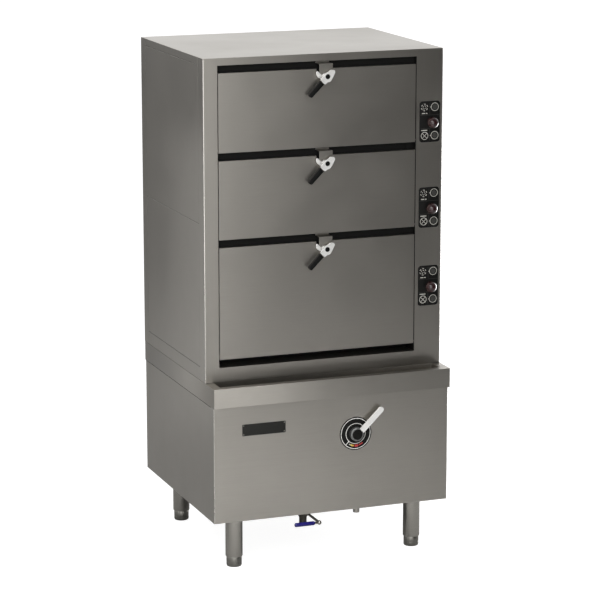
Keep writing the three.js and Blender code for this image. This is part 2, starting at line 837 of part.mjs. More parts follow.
function wireRack({ mouthBottom }) {
  const bottom = mouthBottom + rackHeight;
  const left = mouthLeft + rackSideGap;
  const right = mouthRight - rackSideGap;
  const front = linerFront + linerFlange;
  const back = linerBack - linerSheet - rackSideGap;
  const tray = alongZ(roundedRectangle(left, front, right, back, rackSideGap), bottom, bottom + rackSheet);
  const pitch = (right - left - 2 * rackBorder) / rackSlots;
  const slots = [];
  for (let i = 0; i < rackSlots; i += 1) {
    const middle = left + rackBorder + pitch * (i + 0.5);
    slots.push(block(middle - rackSlotWidth / 2, middle + rackSlotWidth / 2, front + rackBorder,
      back - rackBorder, bottom - overrun, bottom + rackSheet + overrun));
  }
  return cut(tray, slots);
}

// Doors: an outer pan with folded edges and welded hinge pins, and an inner pan whose plug enters
// the mouth

function doorOutline({ bottom, top }, inset) {
  const notchHalf = keeperWidth / 2 + notchClearance + inset;
  const notchFloor = top - notchDrop - inset;
  return polygon([
    [doorLeft + inset, bottom + inset], [doorRight - inset, bottom + inset],
    [doorRight - inset, top - inset], [latchX + notchHalf, top - inset],
    [latchX + notchHalf, notchFloor], [latchX - notchHalf, notchFloor],
    [latchX - notchHalf, top - inset], [doorLeft + inset, top - inset],
  ]);
}

function doorOuter(door) {
  const tray = frontTray(doorOutline(door, 0), doorOutline(door, linerSheet), face, doorBack, linerSheet);
  const latchHole = turnedBack(rodProfile(latchHoleRadius, -overrun, overrun), latchX, face, door.latch);
  return cut(join(tray, hingePins(door)), latchHole);
}

function doorInner(door) {
  const plate = alongY(doorOutline(door, linerSheet + partGap), doorBack - linerSheet, doorBack);
  const plug = (inset, front, back) => alongY(roundedRectangle(
    mouthLeft + plugClearance + inset, door.mouthBottom + plugClearance + inset,
    mouthRight - plugClearance - inset, door.mouthTop - plugClearance - inset,
    plugCorner - inset), front, back);
  const hollow = plug(linerSheet, doorBack - linerSheet - overrun, doorBack + plugDepth - linerSheet);
  return cut(join(plate, plug(0, doorBack - linerSheet, doorBack + plugDepth)), hollow);
}

function hingePins({ hinge }) {
  const outer = doorSideGap + skin + bushLength - partGap;
  const collarStart = linerSheet / 2;
  const profile = [
    [0, -outer], [pinRadius, -outer], [pinRadius, collarStart], [pinCollarRadius, collarStart],
    [pinCollarRadius, collarStart + pinCollarLength], [0, collarStart + pinCollarLength],
  ];
  const mirrored = profile.map(([radius, along]) => [radius, -along]);
  return join(turnedRight(profile, doorLeft, hingeY, hinge, hiddenFacets),
    turnedRight(mirrored, doorRight, hingeY, hinge, hiddenFacets));
}

// Latches. Outlines are drawn from the pivot, in X and height, as shares of the grip's start.

const headShares = [
  [-0.97, -0.36], [-0.35, -0.98], [0.03, -0.66], [0.19, -0.71], [0.4, -0.57], [0.6, -0.24],
  [0.98, 0.46], [0.94, 0.68], [0.77, 0.8], [0.3, 0.81], [0.13, 0.6], [-0.22, 0.45],
];
const wingShares = [
  [0.2, 0.2], [-0.52, 0.14], [-0.99, 0.62], [-1.12, 0.62], [-1.21, 0.41],
  [-1.17, 0.17], [-0.98, -0.14], [-0.6, -0.4], [0.1, -0.26],
];

function latchOutline(shares, pivotHeight) {
  const outline = new THREE.Shape();
  const corners = shares.map(([x, z]) => [latchX + x * gripStart, pivotHeight + z * gripStart]);
  const middles = corners.map(([x, z], i) => {
    const [nextX, nextZ] = corners[(i + 1) % corners.length];
    return [(x + nextX) / 2, (z + nextZ) / 2];
  });
  const soft = (from, to, share) => from.map((value, k) => value + (to[k] - value) * share);
  const roundShare = 0.55;
  outline.moveTo(...soft(corners[0], middles[0], roundShare));
  corners.forEach((corner, i) => {
    const next = corners[(i + 1) % corners.length];
    outline.lineTo(...soft(next, middles[i], roundShare));
    outline.quadraticCurveTo(...next, ...soft(next, middles[(i + 1) % corners.length], roundShare));
  });
  return outline;
}

// A shape drawn along the grip's length from the pivot, turned to the grip's angle
function towardsGrip(shape, front, back, pivotHeight) {
  const bar = drawnAlongY(shape, front, back).rotateY(-gripAngle * degree);
  return toSolid(bar.translate(latchX, 0, pivotHeight));
}

// Head: a face plate, a side wing behind it, the post that carries both and the grip's tang
function latchHead({ latch }) {
  const headFront = face - latchHeadProud;
  const head = alongY(latchOutline(headShares, latch), headFront, headFront + latchHeadSheet);
  const wingFront = face - latchWingProud;
  const wing = alongY(latchOutline(wingShares, latch), wingFront, wingFront + latchWingSheet);
  const postBack = face - partGap;
  const washerFront = face + linerSheet + partGap;
  const post = turnedBack([
    [0, headFront + latchHeadSheet / 2], [latchPostRadius, headFront + latchHeadSheet / 2],
    [latchPostRadius, postBack], [latchSpindleRadius, postBack], [latchSpindleRadius, washerFront],
    [latchWasherRadius, washerFront], [latchWasherRadius, washerFront + latchWasher],
    [0, washerFront + latchWasher],
  ], latchX, 0, latch);
  const screwSeat = turnedBack(rodProfile(latchScrewRadius, -overrun, latchScrewDepth),
    latchX, headFront, latch);
  const tangFront = headFront + tangSetback;
  const tang = towardsGrip(rectangle(0, -tangWidth / 2, gripStart + tangLength, tangWidth / 2),
    tangFront, tangFront + tangSheet, latch);
  return cut(join(head, wing, post, tang), screwSeat);
}

// Grip: a rounded bar over the head's tang, which starts at the head's cut end
function latchGrip({ latch }) {
  const start = gripStart + partGap;
  const half = gripWidth / 2;
  const taperShare = 0.86;
  const end = start + gripLength;
  const low = half * taperShare;
  const outline = new THREE.Shape();
  outline.moveTo(start, -half);
  outline.lineTo(end - gripEndRadius, -low);
  outline.quadraticCurveTo(end, -low, end, -low + gripEndRadius);
  outline.lineTo(end, low - gripEndRadius);
  outline.quadraticCurveTo(end, low, end - gripEndRadius, low);
  outline.lineTo(start, half);
  outline.closePath();
  const front = face - gripProud;
  const tangFront = face - latchHeadProud + tangSetback;
  const pocket = rectangle(gripStart, -tangWidth / 2 - partGap, gripStart + tangLength + partGap,
    tangWidth / 2 + partGap);
  return cut(towardsGrip(outline, front, front + gripDepth, latch),
    towardsGrip(pocket, tangFront - partGap, tangFront + tangSheet + partGap, latch));
}

// Keeper: a bracket from the carrier's face, over the door's top edge and down in front of it
function keeper({ top }) {
  const left = latchX - keeperWidth / 2;
  const high = top + keeperRise;
  const low = top - keeperDrop;
  const strip = alongX(foldedSheet([
    [carrierFace, high + keeperTab], [carrierFace, high], [face - keeperProud, high],
    [face - keeperProud, low],
  ], -keeperSheet), left, left + keeperWidth);
  const corners = [[left, keeperCorner], [left + keeperWidth, -keeperCorner]].map(([x, inward]) => alongY(
    polygon([[x, low], [x + inward, low], [x, low + keeperCorner]]),
    face - keeperProud - overrun, face - keeperProud + overrun));
  return cut(strip, corners);
}

// Control plates, ball knobs and damper rods

function controlPlate({ control }) {
  const outline = roundedRectangle(controlX - plateWidth / 2, control - plateHeight / 2,
    controlX + plateWidth / 2, control + plateHeight / 2, plateCorner);
  const hole = turnedBack(rodProfile(rodRadius + partGap, -overrun, overrun), controlX, face, control);
  return cut(alongY(outline, face - plateSheet, face), hole);
}

function knobBall({ control }) {
  const middle = face - ballProud;
  const flatAngle = Math.asin(ballFlat / ballRadius);
  const steps = 7;
  const profile = [];
  for (let i = 0; i <= steps; i += 1) {
    const angle = (Math.PI - flatAngle) * i / steps;
    profile.push([ballRadius * Math.sin(angle), -ballRadius * Math.cos(angle)]);
  }
  profile[0][0] = 0;
  const flat = ballRadius * Math.cos(flatAngle);
  profile.push([rodRadius + partGap, flat], [rodRadius + partGap, flat - ballBore], [0, flat - ballBore]);
  return turnedBack(profile, controlX, middle, control, fineFacets);
}

function damperRod({ control }) {
  const flatAngle = Math.asin(ballFlat / ballRadius);
  const front = face - ballProud + ballRadius * Math.cos(flatAngle) - ballBore + partGap;
  const seat = riserFront - riserSheet - partGap;
  return turnedBack([
    [0, front], [rodRadius, front], [rodRadius, seat - damperSheet], [damperRadius, seat - damperSheet],
    [damperRadius, seat], [0, seat],
  ], controlX, 0, control);
}

// Steam riser: the tank's cover, an upright duct and a valve box in front of it for each chamber,
// with a short pipe from each box to the chamber's wall.

function steamRiser() {
  const left = controlX - riserWidth / 2;
  const right = controlX + riserWidth / 2;
  const back = riserFront + riserDepth;
  const top = doors[0].control + valveBoxHeight / 2;
  const cover = alongZ(roundedRectangle(-tankHalfWidth, tankFront, tankHalfWidth, tankBack, tankCorner),
    deckTop + skin, coverTop);
  const duct = block(left, right, riserFront - riserSheet, back, coverTop - skin / 2, top);
  const bore = block(left + riserSheet, right - riserSheet, riserFront, back - riserSheet,
    deckTop - overrun, top - riserSheet);
  const boxFront = riserFront - valveBoxDepth;
  const boxes = [];
  const hollows = [bore];
  doors.forEach(({ control }) => {
    const low = control - valveBoxHeight / 2;
    const high = control + valveBoxHeight / 2;
    boxes.push(block(left, right, boxFront, riserFront, low, high));
    hollows.push(block(left + riserSheet, right - riserSheet, boxFront + riserSheet,
      riserFront - riserSheet, low + riserSheet, high - riserSheet));
    const reach = mouthRight + linerSheet + partGap;
    boxes.push(turnedRight(rodProfile(steamPipeRadius, reach, left + riserSheet / 2),
      0, steamPortY, control, hiddenFacets));
    hollows.push(turnedRight(rodProfile(steamPipeRadius - steamPipeWall, reach - overrun,
      left + overrun), 0, steamPortY, control, hiddenFacets));
    hollows.push(turnedBack(rodProfile(seatRadius, -overrun, overrun), controlX, riserFront, control,
      hiddenFacets));
    boxes.push(turnedBack(rodProfile(glandRadius, -glandLength, riserSheet), controlX, boxFront, control,
      hiddenFacets));
    hollows.push(turnedBack(rodProfile(rodRadius + partGap, -glandLength - overrun, overrun),
      controlX, boxFront, control));
  });
  return cut(join(cover, duct, boxes), hollows);
}

// Water tank: a deep tray with a flange that rests on the deck, and a drain boss under its floor

function waterTank() {
  const outline = (grow) => roundedRectangle(-tankHalfWidth - grow, tankFront - grow,
    tankHalfWidth + grow, tankBack + grow, tankCorner);
  const body = alongZ(outline(0), tankBottom, deckTop + skin);
  const flange = alongZ(outline(tankFlange), deckTop, deckTop + skin);
  const hollow = alongZ(outline(-skin), tankBottom + skin, deckTop + overrun);
  const boss = turnedUp(rodProfile(drainPortRadius, -drainPortLength, skin / 2),
    drainX, drainY, tankBottom);
  const bore = turnedUp(rodProfile(drainPortRadius - steamPipeWall * 2, -drainPortLength - overrun,
    skin + overrun), drainX, drainY, tankBottom);
  return cut(join(body, flange, boss), hollow, bore);
}

// Gas side: valve behind the panel, feed pipe from the back, pipe to the burner

function gasValve() {
  const front = basePanelFace + skin + partGap;
  const body = turnedBack([
    [0, 0], [valveNutRadius, 0], [valveNutRadius, valveLength / 4], [valveRadius, valveLength / 4],
    [valveRadius, valveLength], [0, valveLength],
  ], dialX, front, dialHeight);
  const bore = turnedBack(rodProfile(spindleRadius + partGap, -overrun, valveBore),
    dialX, front, dialHeight);
  const pipeY = front + valveLength * 2 / 3;
  const supply = bentPipe([
    [dialX, pipeY, dialHeight], [dialX, pipeY, gasInletHeight], [gasInletX, pipeY, gasInletHeight],
    [gasInletX, cabinetDepth, gasInletHeight],
  ], gasPipeRadius, gasPipeRadius * 3);
  const burnerFront = burnerY - burnerRadius - partGap;
  const feedHeight = burnerHeight + burnerThickness / 2;
  const rear = front + valveLength;
  const feed = bentPipe([
    [dialX, rear - valveLength / 4, dialHeight], [dialX, rear + valveLength, dialHeight],
    [dialX, rear + valveLength, feedHeight], [0, rear + valveLength, feedHeight],
    [0, burnerFront, feedHeight],
  ], gasPipeRadius, gasPipeRadius * 3);
  return cut(join(body, supply, feed), bore);
}

function burner() {
  const top = burnerHeight + burnerThickness;
  const profile = [[0, burnerHeight], [burnerRadius, burnerHeight], [burnerRadius, top]];
  const first = burnerRadius - burnerRingWidth;
  for (let radius = first; radius > burnerRingWidth; radius -= 2 * burnerRingWidth) {
    const inner = radius - burnerRingWidth;
    profile.push([radius, top], [radius, top - burnerRingDepth]);
    profile.push([inner, top - burnerRingDepth], [inner, top]);
  }
  profile.push([0, top]);
  const head = turnedUp(profile, 0, burnerY, 0);
  const legs = [0, 1, 2].map((i) => {
    const angle = turn * i / 3 + Math.PI / 2;
    const reach = burnerRadius * burnerLegShare;
    return turnedUp(rodProfile(burnerLegRadius, legHeight + skin, burnerHeight + burnerRingDepth),
      reach * Math.cos(angle), burnerY + reach * Math.sin(angle), 0, hiddenFacets);
  });
  return join(head, legs);
}

// Drain valve under the tank's boss, with its outlet below the base floor

function drainValve() {
  const top = tankBottom - drainPortLength - partGap;
  const bore = drainPortRadius - steamPipeWall * 2;
  const low = drainHeight - drainBodyHalf - drainPortLength;
  const body = turnedUp([
    [0, low], [drainPortRadius, low], [drainPortRadius, drainHeight - drainBodyHalf],
    [drainBodyRadius, drainHeight - drainBodyHalf / 2], [drainBodyRadius, drainHeight + drainBodyHalf / 2],
    [drainPortRadius, drainHeight + drainBodyHalf], [drainPortRadius, top], [0, top],
  ], drainX, drainY, 0);
  const outlet = turnedUp(rodProfile(bore, low - overrun, drainHeight - drainBodyHalf / 2),
    drainX, drainY, 0);
  const inlet = turnedUp(rodProfile(bore, drainHeight + drainBodyHalf / 2, top + overrun),
    drainX, drainY, 0);
  const packing = turnedBack(rodProfile(drainPortRadius, -drainBodyRadius - stemLength, 0),
    drainX, drainY, drainHeight);
  const stem = turnedBack(rodProfile(handleRodRadius + partGap, -drainBodyRadius - stemLength - overrun,
    -drainBodyRadius), drainX, drainY, drainHeight);
  return cut(join(body, packing), outlet, inlet, stem);
}

function drainRod() {
  const back = drainY - drainBodyRadius - partGap;
  const rod = turnedBack(rodProfile(handleRodRadius, handleFront, back), drainX, 0, drainHeight);
  const rounding = 6;
  const ball = [];
  for (let i = 0; i <= rounding; i += 1) {
    const angle = Math.PI * i / rounding;
    ball.push([handleEndRadius * Math.sin(angle), -handleEndRadius * Math.cos(angle)]);
  }
  ball[0][0] = 0;
  ball[rounding][0] = 0;
  const end = turnedBack(ball, drainX, handleFront, drainHeight);
  const reach = -gripTubeStart - gripTubeLength + gripTubeWall * 2;
  const arm = turnedRight(rodProfile(handleRodRadius, reach, 0), drainX, handleFront, drainHeight);
  return join(rod, end, arm);
}

function drainGrip() {
  const far = -gripTubeStart - gripTubeLength;
  const inner = handleRodRadius + partGap;
  const rounding = gripTubeRadius / 2;
  return turnedRight([
    [0, far], [gripTubeRadius - rounding, far], [gripTubeRadius, far + rounding],
    [gripTubeRadius, -gripTubeStart - rounding], [gripTubeRadius - rounding / 2, -gripTubeStart],
    [inner, -gripTubeStart], [inner, far + gripTubeWall], [0, far + gripTubeWall],
  ], drainX, handleFront, drainHeight);
}

// Dial, gas lever and cap

function dialPlate() {
  const hole = turnedBack(rodProfile(spindleRadius + partGap, -overrun, overrun), dialX,
    basePanelFace, dialHeight);
  const plate = turnedBack(rodProfile(dialRadius, -dialSheet, 0), dialX, basePanelFace, dialHeight,
    fineFacets);
  return cut(plate, hole);
}

function gasLever() {
  const hubFront = basePanelFace - hubProud;
  const hubBack = basePanelFace - dialSheet - partGap;
  const spindleBack = basePanelFace + skin + valveBore;
  const hub = turnedBack([
    [0, hubFront], [hubRadius - hubChamfer, hubFront], [hubRadius, hubFront + hubChamfer],
    [hubRadius, hubBack], [spindleRadius, hubBack], [spindleRadius, spindleBack], [0, spindleBack],
  ], dialX, 0, dialHeight, fineFacets);
  const half = leverWidth / 2;
  const outline = new THREE.Shape();
  outline.moveTo(leverRoot, -half);
  outline.lineTo(leverReach, -half);
  outline.absarc(leverReach, 0, half, -Math.PI / 2, Math.PI / 2);
  outline.lineTo(leverRoot, half);
  outline.closePath();
  const front = basePanelFace - leverProud;
  const bar = drawnAlongY(outline, front, front + leverSheet).rotateY(-leverAngle * degree);
  const capSeat = turnedBack(rodProfile(capRadius + partGap, -hubProud, capProud),
    dialX, hubFront, dialHeight, fineFacets);
  const rootBack = front + leverSheet;
  const root = turnedBack(ringProfile(capRadius + partGap, hubRadius - hubChamfer, rootBack - partGap,
    hubFront + hubChamfer), dialX, 0, dialHeight, fineFacets);
  return join(cut(hub, capSeat), cut(join(root, toSolid(bar.translate(dialX, 0, dialHeight))), capSeat));
}

function gasLeverCap() {
  const front = basePanelFace - hubProud - capProud;
  const back = basePanelFace - hubProud + capProud - partGap;
  return turnedBack([
    [0, front], [capRadius - capProud, front], [capRadius, front + capProud / 2],
    [capRadius, back], [0, back],
  ], dialX, 0, dialHeight, fineFacets);
}

// The whole cabinet

addPart('leg_stand', legStand(), 'frameSteel');
addPart('base_front_panel', baseFrontPanel(), 'brushedSteel');
addPart('base_skirt', baseSkirt(), 'brushedSteel');
addPart('gutter_deck', gutterDeck(), 'brushedSteel');
addPart('carcass_frame', carcassFrame(), 'frameSteel');
addPart('face_frame', faceFrame(), 'brushedSteel');
addPart('back_panel', backPanel(), 'brushedSteel');
addPart('top_cover', topCover(), 'brushedSteel');
addPart('seal_carrier', sealCarrier(), 'blackSteel');

[['left', -1], ['right', 1]].forEach(([hand, sign]) => {
  addPart(`side_panel_${hand}_lower`,
    sidePanel(sign, deckTop + sidePlinth + seamGap, sideSeamHeight - seamGap / 2), 'brushedSteel');
  addPart(`side_panel_${hand}_upper`,
    sidePanel(sign, sideSeamHeight + seamGap / 2, cabinetHeight - sideFlange - seamGap), 'brushedSteel');
});

addPart('water_tank', waterTank(), 'linerSteel');
addPart('steam_riser', steamRiser(), 'linerSteel');
addPart('burner', burner(), 'castIron');
addPart('gas_valve', gasValve(), 'brass');
addPart('drain_valve', drainValve(), 'brass');
addPart('dial_plate', dialPlate(), 'plateInk');

doors.forEach((door) => {
  const parts = [
    ['chamber_liner', chamberLiner, 'linerSteel'],
    ['wire_rack', wireRack, 'linerSteel'],
    ['door_seal', doorSeal, 'rubber'],
    ['keeper', keeper, 'brushedSteel'],
    ['control_plate', controlPlate, 'plateInk'],
    ['door_outer', doorOuter, 'brushedSteel'],
    ['door_inner', doorInner, 'linerSteel'],
    ['latch_head', latchHead, 'brightMetal'],
    ['latch_grip', latchGrip, 'blackPlastic'],
    ['knob_ball', knobBall, 'ballResin'],
    ['damper_rod', damperRod, 'brightMetal'],
  ];
  parts.forEach(([name, make, finish]) => addPart(`${name}_${door.number}`, make(door), finish));
});

addPart('gas_lever', gasLever(), 'brightMetal');
addPart('gas_lever_cap', gasLeverCap(), 'blackPlastic');
addPart('drain_rod', drainRod(), 'brightMetal');
addPart('drain_grip', drainGrip(), 'bluePlastic');
legPlaces().forEach(([place, x, y]) => addPart(`foot_${place}`, foot(x, y), 'brightMetal'));

// The origin lies on the floor under the middle of the whole, the gas lever included
const leverFront = basePanelFace - leverProud;
cabinet.position.y = -(cabinetDepth + leverFront) / 2;

export default cabinet;
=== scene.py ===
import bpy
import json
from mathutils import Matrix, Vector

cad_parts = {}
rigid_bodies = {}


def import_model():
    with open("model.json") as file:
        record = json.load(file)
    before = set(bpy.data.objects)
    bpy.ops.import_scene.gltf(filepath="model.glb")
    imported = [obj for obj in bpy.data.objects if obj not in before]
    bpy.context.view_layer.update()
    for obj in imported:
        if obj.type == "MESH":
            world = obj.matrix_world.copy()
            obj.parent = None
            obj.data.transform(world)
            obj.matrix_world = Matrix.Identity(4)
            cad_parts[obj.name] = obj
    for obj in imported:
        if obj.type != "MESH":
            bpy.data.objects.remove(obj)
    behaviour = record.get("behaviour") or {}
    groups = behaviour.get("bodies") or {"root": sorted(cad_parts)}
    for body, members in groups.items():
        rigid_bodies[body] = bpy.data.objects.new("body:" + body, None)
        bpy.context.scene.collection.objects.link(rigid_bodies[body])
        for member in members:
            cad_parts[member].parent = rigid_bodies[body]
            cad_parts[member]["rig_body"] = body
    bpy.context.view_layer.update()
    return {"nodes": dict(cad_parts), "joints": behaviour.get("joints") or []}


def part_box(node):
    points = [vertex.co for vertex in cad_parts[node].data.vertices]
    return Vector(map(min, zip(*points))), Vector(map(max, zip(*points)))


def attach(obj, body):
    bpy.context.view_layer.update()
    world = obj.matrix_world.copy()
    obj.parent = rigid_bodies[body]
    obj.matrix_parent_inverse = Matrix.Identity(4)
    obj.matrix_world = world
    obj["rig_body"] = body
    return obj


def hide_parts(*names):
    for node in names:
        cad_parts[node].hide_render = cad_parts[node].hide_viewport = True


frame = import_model()

import json
import math

import bmesh
import bpy
import numpy as np
from mathutils import Vector

NODES = frame["nodes"]

# The part's row frame in millimetres: X right, Y back, Z up, origin on the floor. The apron's front
# edge lies at APRON_FRONT, the doors' faces at FACE, and the base's front panel at PANEL_FACE.
APRON_FRONT = -394.5
FACE = APRON_FRONT + 96.0
PANEL_FACE = APRON_FRONT + 14.0


# Shapes worked out as arrays. A shell is (points, faces): points in millimetres, and faces as lists
# of point numbers.

def outward(points, faces):
    """The shell with its faces turned round if the volume they enclose, summed over fans of
    triangles from the origin, comes out negative."""
    volume = 0.0
    for face in faces:
        corners = points[face]
        volume += np.einsum("ij,ij->", np.cross(corners[1:-1], corners[2:]),
                            np.broadcast_to(corners[0], corners[1:-1].shape))
    return points, (faces if volume > 0 else [face[::-1] for face in faces])


def loft(rings, closed=False):
    """A skin over rings of equal length: quads join each ring to the next, and a flat face closes
    each end, or the last ring joins the first when the loft is closed on itself."""
    rings = np.asarray(rings, float)
    count, around = rings.shape[:2]
    spans = count if closed else count - 1
    row, column = np.meshgrid(np.arange(spans), np.arange(around), indexing="ij")
    ahead, beside = (row + 1) % count, (column + 1) % around
    quads = np.stack([row * around + column, row * around + beside,
                      ahead * around + beside, ahead * around + column], -1).reshape(-1, 4)
    faces = quads.tolist()
    if not closed:
        faces += [list(range(around))[::-1], list(range((count - 1) * around, count * around))]
    return outward(rings.reshape(-1, 3), faces)


AXES = {"x": (1, 2, 0), "y": (2, 0, 1), "z": (0, 1, 2)}


def turned(profile, centre, axis, facets=48):
    """A profile of (radius, distance along the axis) carried round the axis: each point becomes a
    circle of that radius, and the circles are lofted."""
    profile = np.asarray(profile, float)
    angle = np.arange(facets) * 2 * math.pi / facets
    side, up, along = AXES[axis]
    rings = np.zeros((len(profile), facets, 3))
    rings[:, :, side] = profile[:, :1] * np.cos(angle)
    rings[:, :, up] = profile[:, :1] * np.sin(angle)
    rings[:, :, along] = profile[:, 1:]
    return loft(rings + np.asarray(centre, float))


def inset(outline, amount):
    """The outline moved inwards: each corner shifts along the mean of its two edges' normals, by
    the amount over the cosine of half the angle between them, but at most twice the amount."""
    ahead = np.roll(outline, -1, 0) - outline
    ahead /= np.linalg.norm(ahead, axis=1, keepdims=True)
    behind = np.roll(ahead, 1, 0)
    normal = lambda edge: np.stack([-edge[:, 1], edge[:, 0]], 1)
    mean = normal(ahead) + normal(behind)
    mean /= np.linalg.norm(mean, axis=1, keepdims=True)
    cosine = np.clip((mean * normal(ahead)).sum(1, keepdims=True), 0.5, 1)
    return outline + mean * amount / cosine


def anticlockwise(outline):
    """The outline in anticlockwise order, found from the sign of its shoelace sum."""
    x, z = np.asarray(outline, float).T
    area = (x * np.roll(z, -1) - z * np.roll(x, -1)).sum()
    return np.asarray(outline, float) if area > 0 else np.asarray(outline, float)[::-1]


def slab(outline, front, back, rounding, steps=4):
    """An outline in X and Z carried from front to back, with both rims rounded: rings follow a
    quarter circle, moved in by r(1 - cos) while the depth goes by r(1 - sin)."""
    outline = anticlockwise(outline)
    angle = np.linspace(0, math.pi / 2, steps + 1)
    inwards = rounding * (1 - np.sin(angle))
    depths = np.concatenate([front + rounding * (1 - np.cos(angle)),
                             back - rounding * (1 - np.cos(angle[::-1]))])
    rings = []
    for amount, depth in zip(np.concatenate([inwards, inwards[::-1]]), depths):
        flat = inset(outline, amount)
        rings.append(np.stack([flat[:, 0], np.full(len(flat), depth), flat[:, 1]], 1))
    return loft(rings)


def rounded(corners, radii, steps=6):
    """An outline whose corners are quadratic arcs: each arc leaves its edges the corner's radius
    away from the corner, or 0.48 of the edge away where that is less."""
    corners = np.asarray(corners, float)
    radii = np.broadcast_to(radii, len(corners))
    share = np.linspace(0, 1, steps + 1)[:, None]
    points = []
    for i, corner in enumerate(corners):
        ends = []
        for other in (corners[i - 1], corners[(i + 1) % len(corners)]):
            length = np.linalg.norm(other - corner)
            ends.append(corner + (other - corner) * min(radii[i], length * 0.48) / length)
        points.append((1 - share) ** 2 * ends[0] + 2 * share * (1 - share) * corner
                      + share ** 2 * ends[1])
    return np.concatenate(points)


def rounded_box(left, bottom, right, top, radius):
    """A rectangle's outline with four quarter-circle corners."""
    angle = np.linspace(0, math.pi / 2, 9)
    centres = [(right - radius, top - radius), (left + radius, top - radius),
               (left + radius, bottom + radius), (right - radius, bottom + radius)]
    points = []
    for quarter, (x, z) in enumerate(centres):
        turn = angle + quarter * math.pi / 2
        points.append(np.stack([x + radius * np.cos(turn), z + radius * np.sin(turn)], 1))
    return np.concatenate(points)


# A direction that no bar follows, to take the first side direction from.
OFF_AXIS = [0.3, 0.5, 0.8]


def swept(path, radius, facets):
    """A round bar along a path: circles across the path, whose side direction is carried from
    point to point without twist."""
    path = np.asarray(path, float)
    along = np.gradient(path, axis=0)
    along /= np.linalg.norm(along, axis=1, keepdims=True)
    side = np.cross(along[0], OFF_AXIS)
    angle = np.arange(facets) * 2 * math.pi / facets
    rings = []
    for point, direction in zip(path, along):
        side = side - direction * side.dot(direction)
        side /= np.linalg.norm(side)
        up = np.cross(direction, side)
        rings.append(point + radius * (np.outer(np.cos(angle), side) + np.outer(np.sin(angle), up)))
    return loft(rings)


def band(inner, outer, y, thickness, centre, start=0.0, end=360.0):
    """A flat printed ring or arc: points on two circles between two angles, raised a hair from its
    plate. A full ring closes on itself."""
    full = end - start >= 360
    count = max(8, int((end - start) / 5))
    angle = np.radians(np.linspace(start, end, count + 1))
    if full:
        angle = angle[:-1]
    x, z = centre
    rings = []
    for size, depth in ((inner, y), (outer, y), (outer, y + thickness), (inner, y + thickness)):
        rings.append(np.stack([x + size * np.cos(angle), np.full(len(angle), depth),
                               z + size * np.sin(angle)], 1))
    rings = np.stack(rings, 1)
    return loft(rings, closed=full)


def stroke(start, end, width, y, thickness):
    """A straight printed line from start to end, as a thin flat box."""
    start, end = np.asarray(start, float), np.asarray(end, float)
    along = (end - start) / np.linalg.norm(end - start)
    across = np.array([-along[1], along[0]]) * width / 2
    outline = np.array([start - across, end - across, end + across, start + across])
    flat = lambda depth: np.stack([outline[:, 0], np.full(4, depth), outline[:, 1]], 1)
    return loft([flat(y), flat(y + thickness)])


# Objects

# Angles in degrees: flatter than SAME_SHEET is one sheet, sharper than EASED_FOLD is rounded over,
# and sharper than SHARP_FOLD shows as an edge. Lengths in metres: points within SAME_POINT are one,
# points within ON_CORNER of the front corner belong to it, and an upright fold is longer than
# UPRIGHT_LENGTH.
SAME_SHEET = 0.5
EASED_FOLD = 30
SHARP_FOLD = 35
SAME_POINT = 2e-6
ON_CORNER = 1e-5
UPRIGHT_LENGTH = 0.02


def piece(name, shells, materials, body, stands_for=(), sharp=SHARP_FOLD):
    """One mesh object from shells, each with the number of its material, riding on a CAD body.
    Edges with a wider angle than sharp, in degrees, show as edges."""
    points, faces, finishes = [], [], []
    offset = 0
    for (shell_points, shell_faces), material_number in shells:
        points.append(shell_points)
        faces += [[corner + offset for corner in face] for face in shell_faces]
        finishes += [material_number] * len(shell_faces)
        offset += len(shell_points)
    mesh = bpy.data.meshes.new(name)
    mesh.from_pydata((np.concatenate(points) / 1000).tolist(), [], faces)
    for material in materials:
        mesh.materials.append(material)
    mesh.polygons.foreach_set("material_index", np.array(finishes, np.int32))
    mesh.polygons.foreach_set("use_smooth", np.ones(len(faces), bool))
    mesh.set_sharp_from_angle(angle=math.radians(sharp))
    mesh.update()
    thing = bpy.data.objects.new(name, mesh)
    bpy.context.scene.collection.objects.link(thing)
    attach(thing, body)
    if stands_for:
        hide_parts(*stands_for)
    return thing


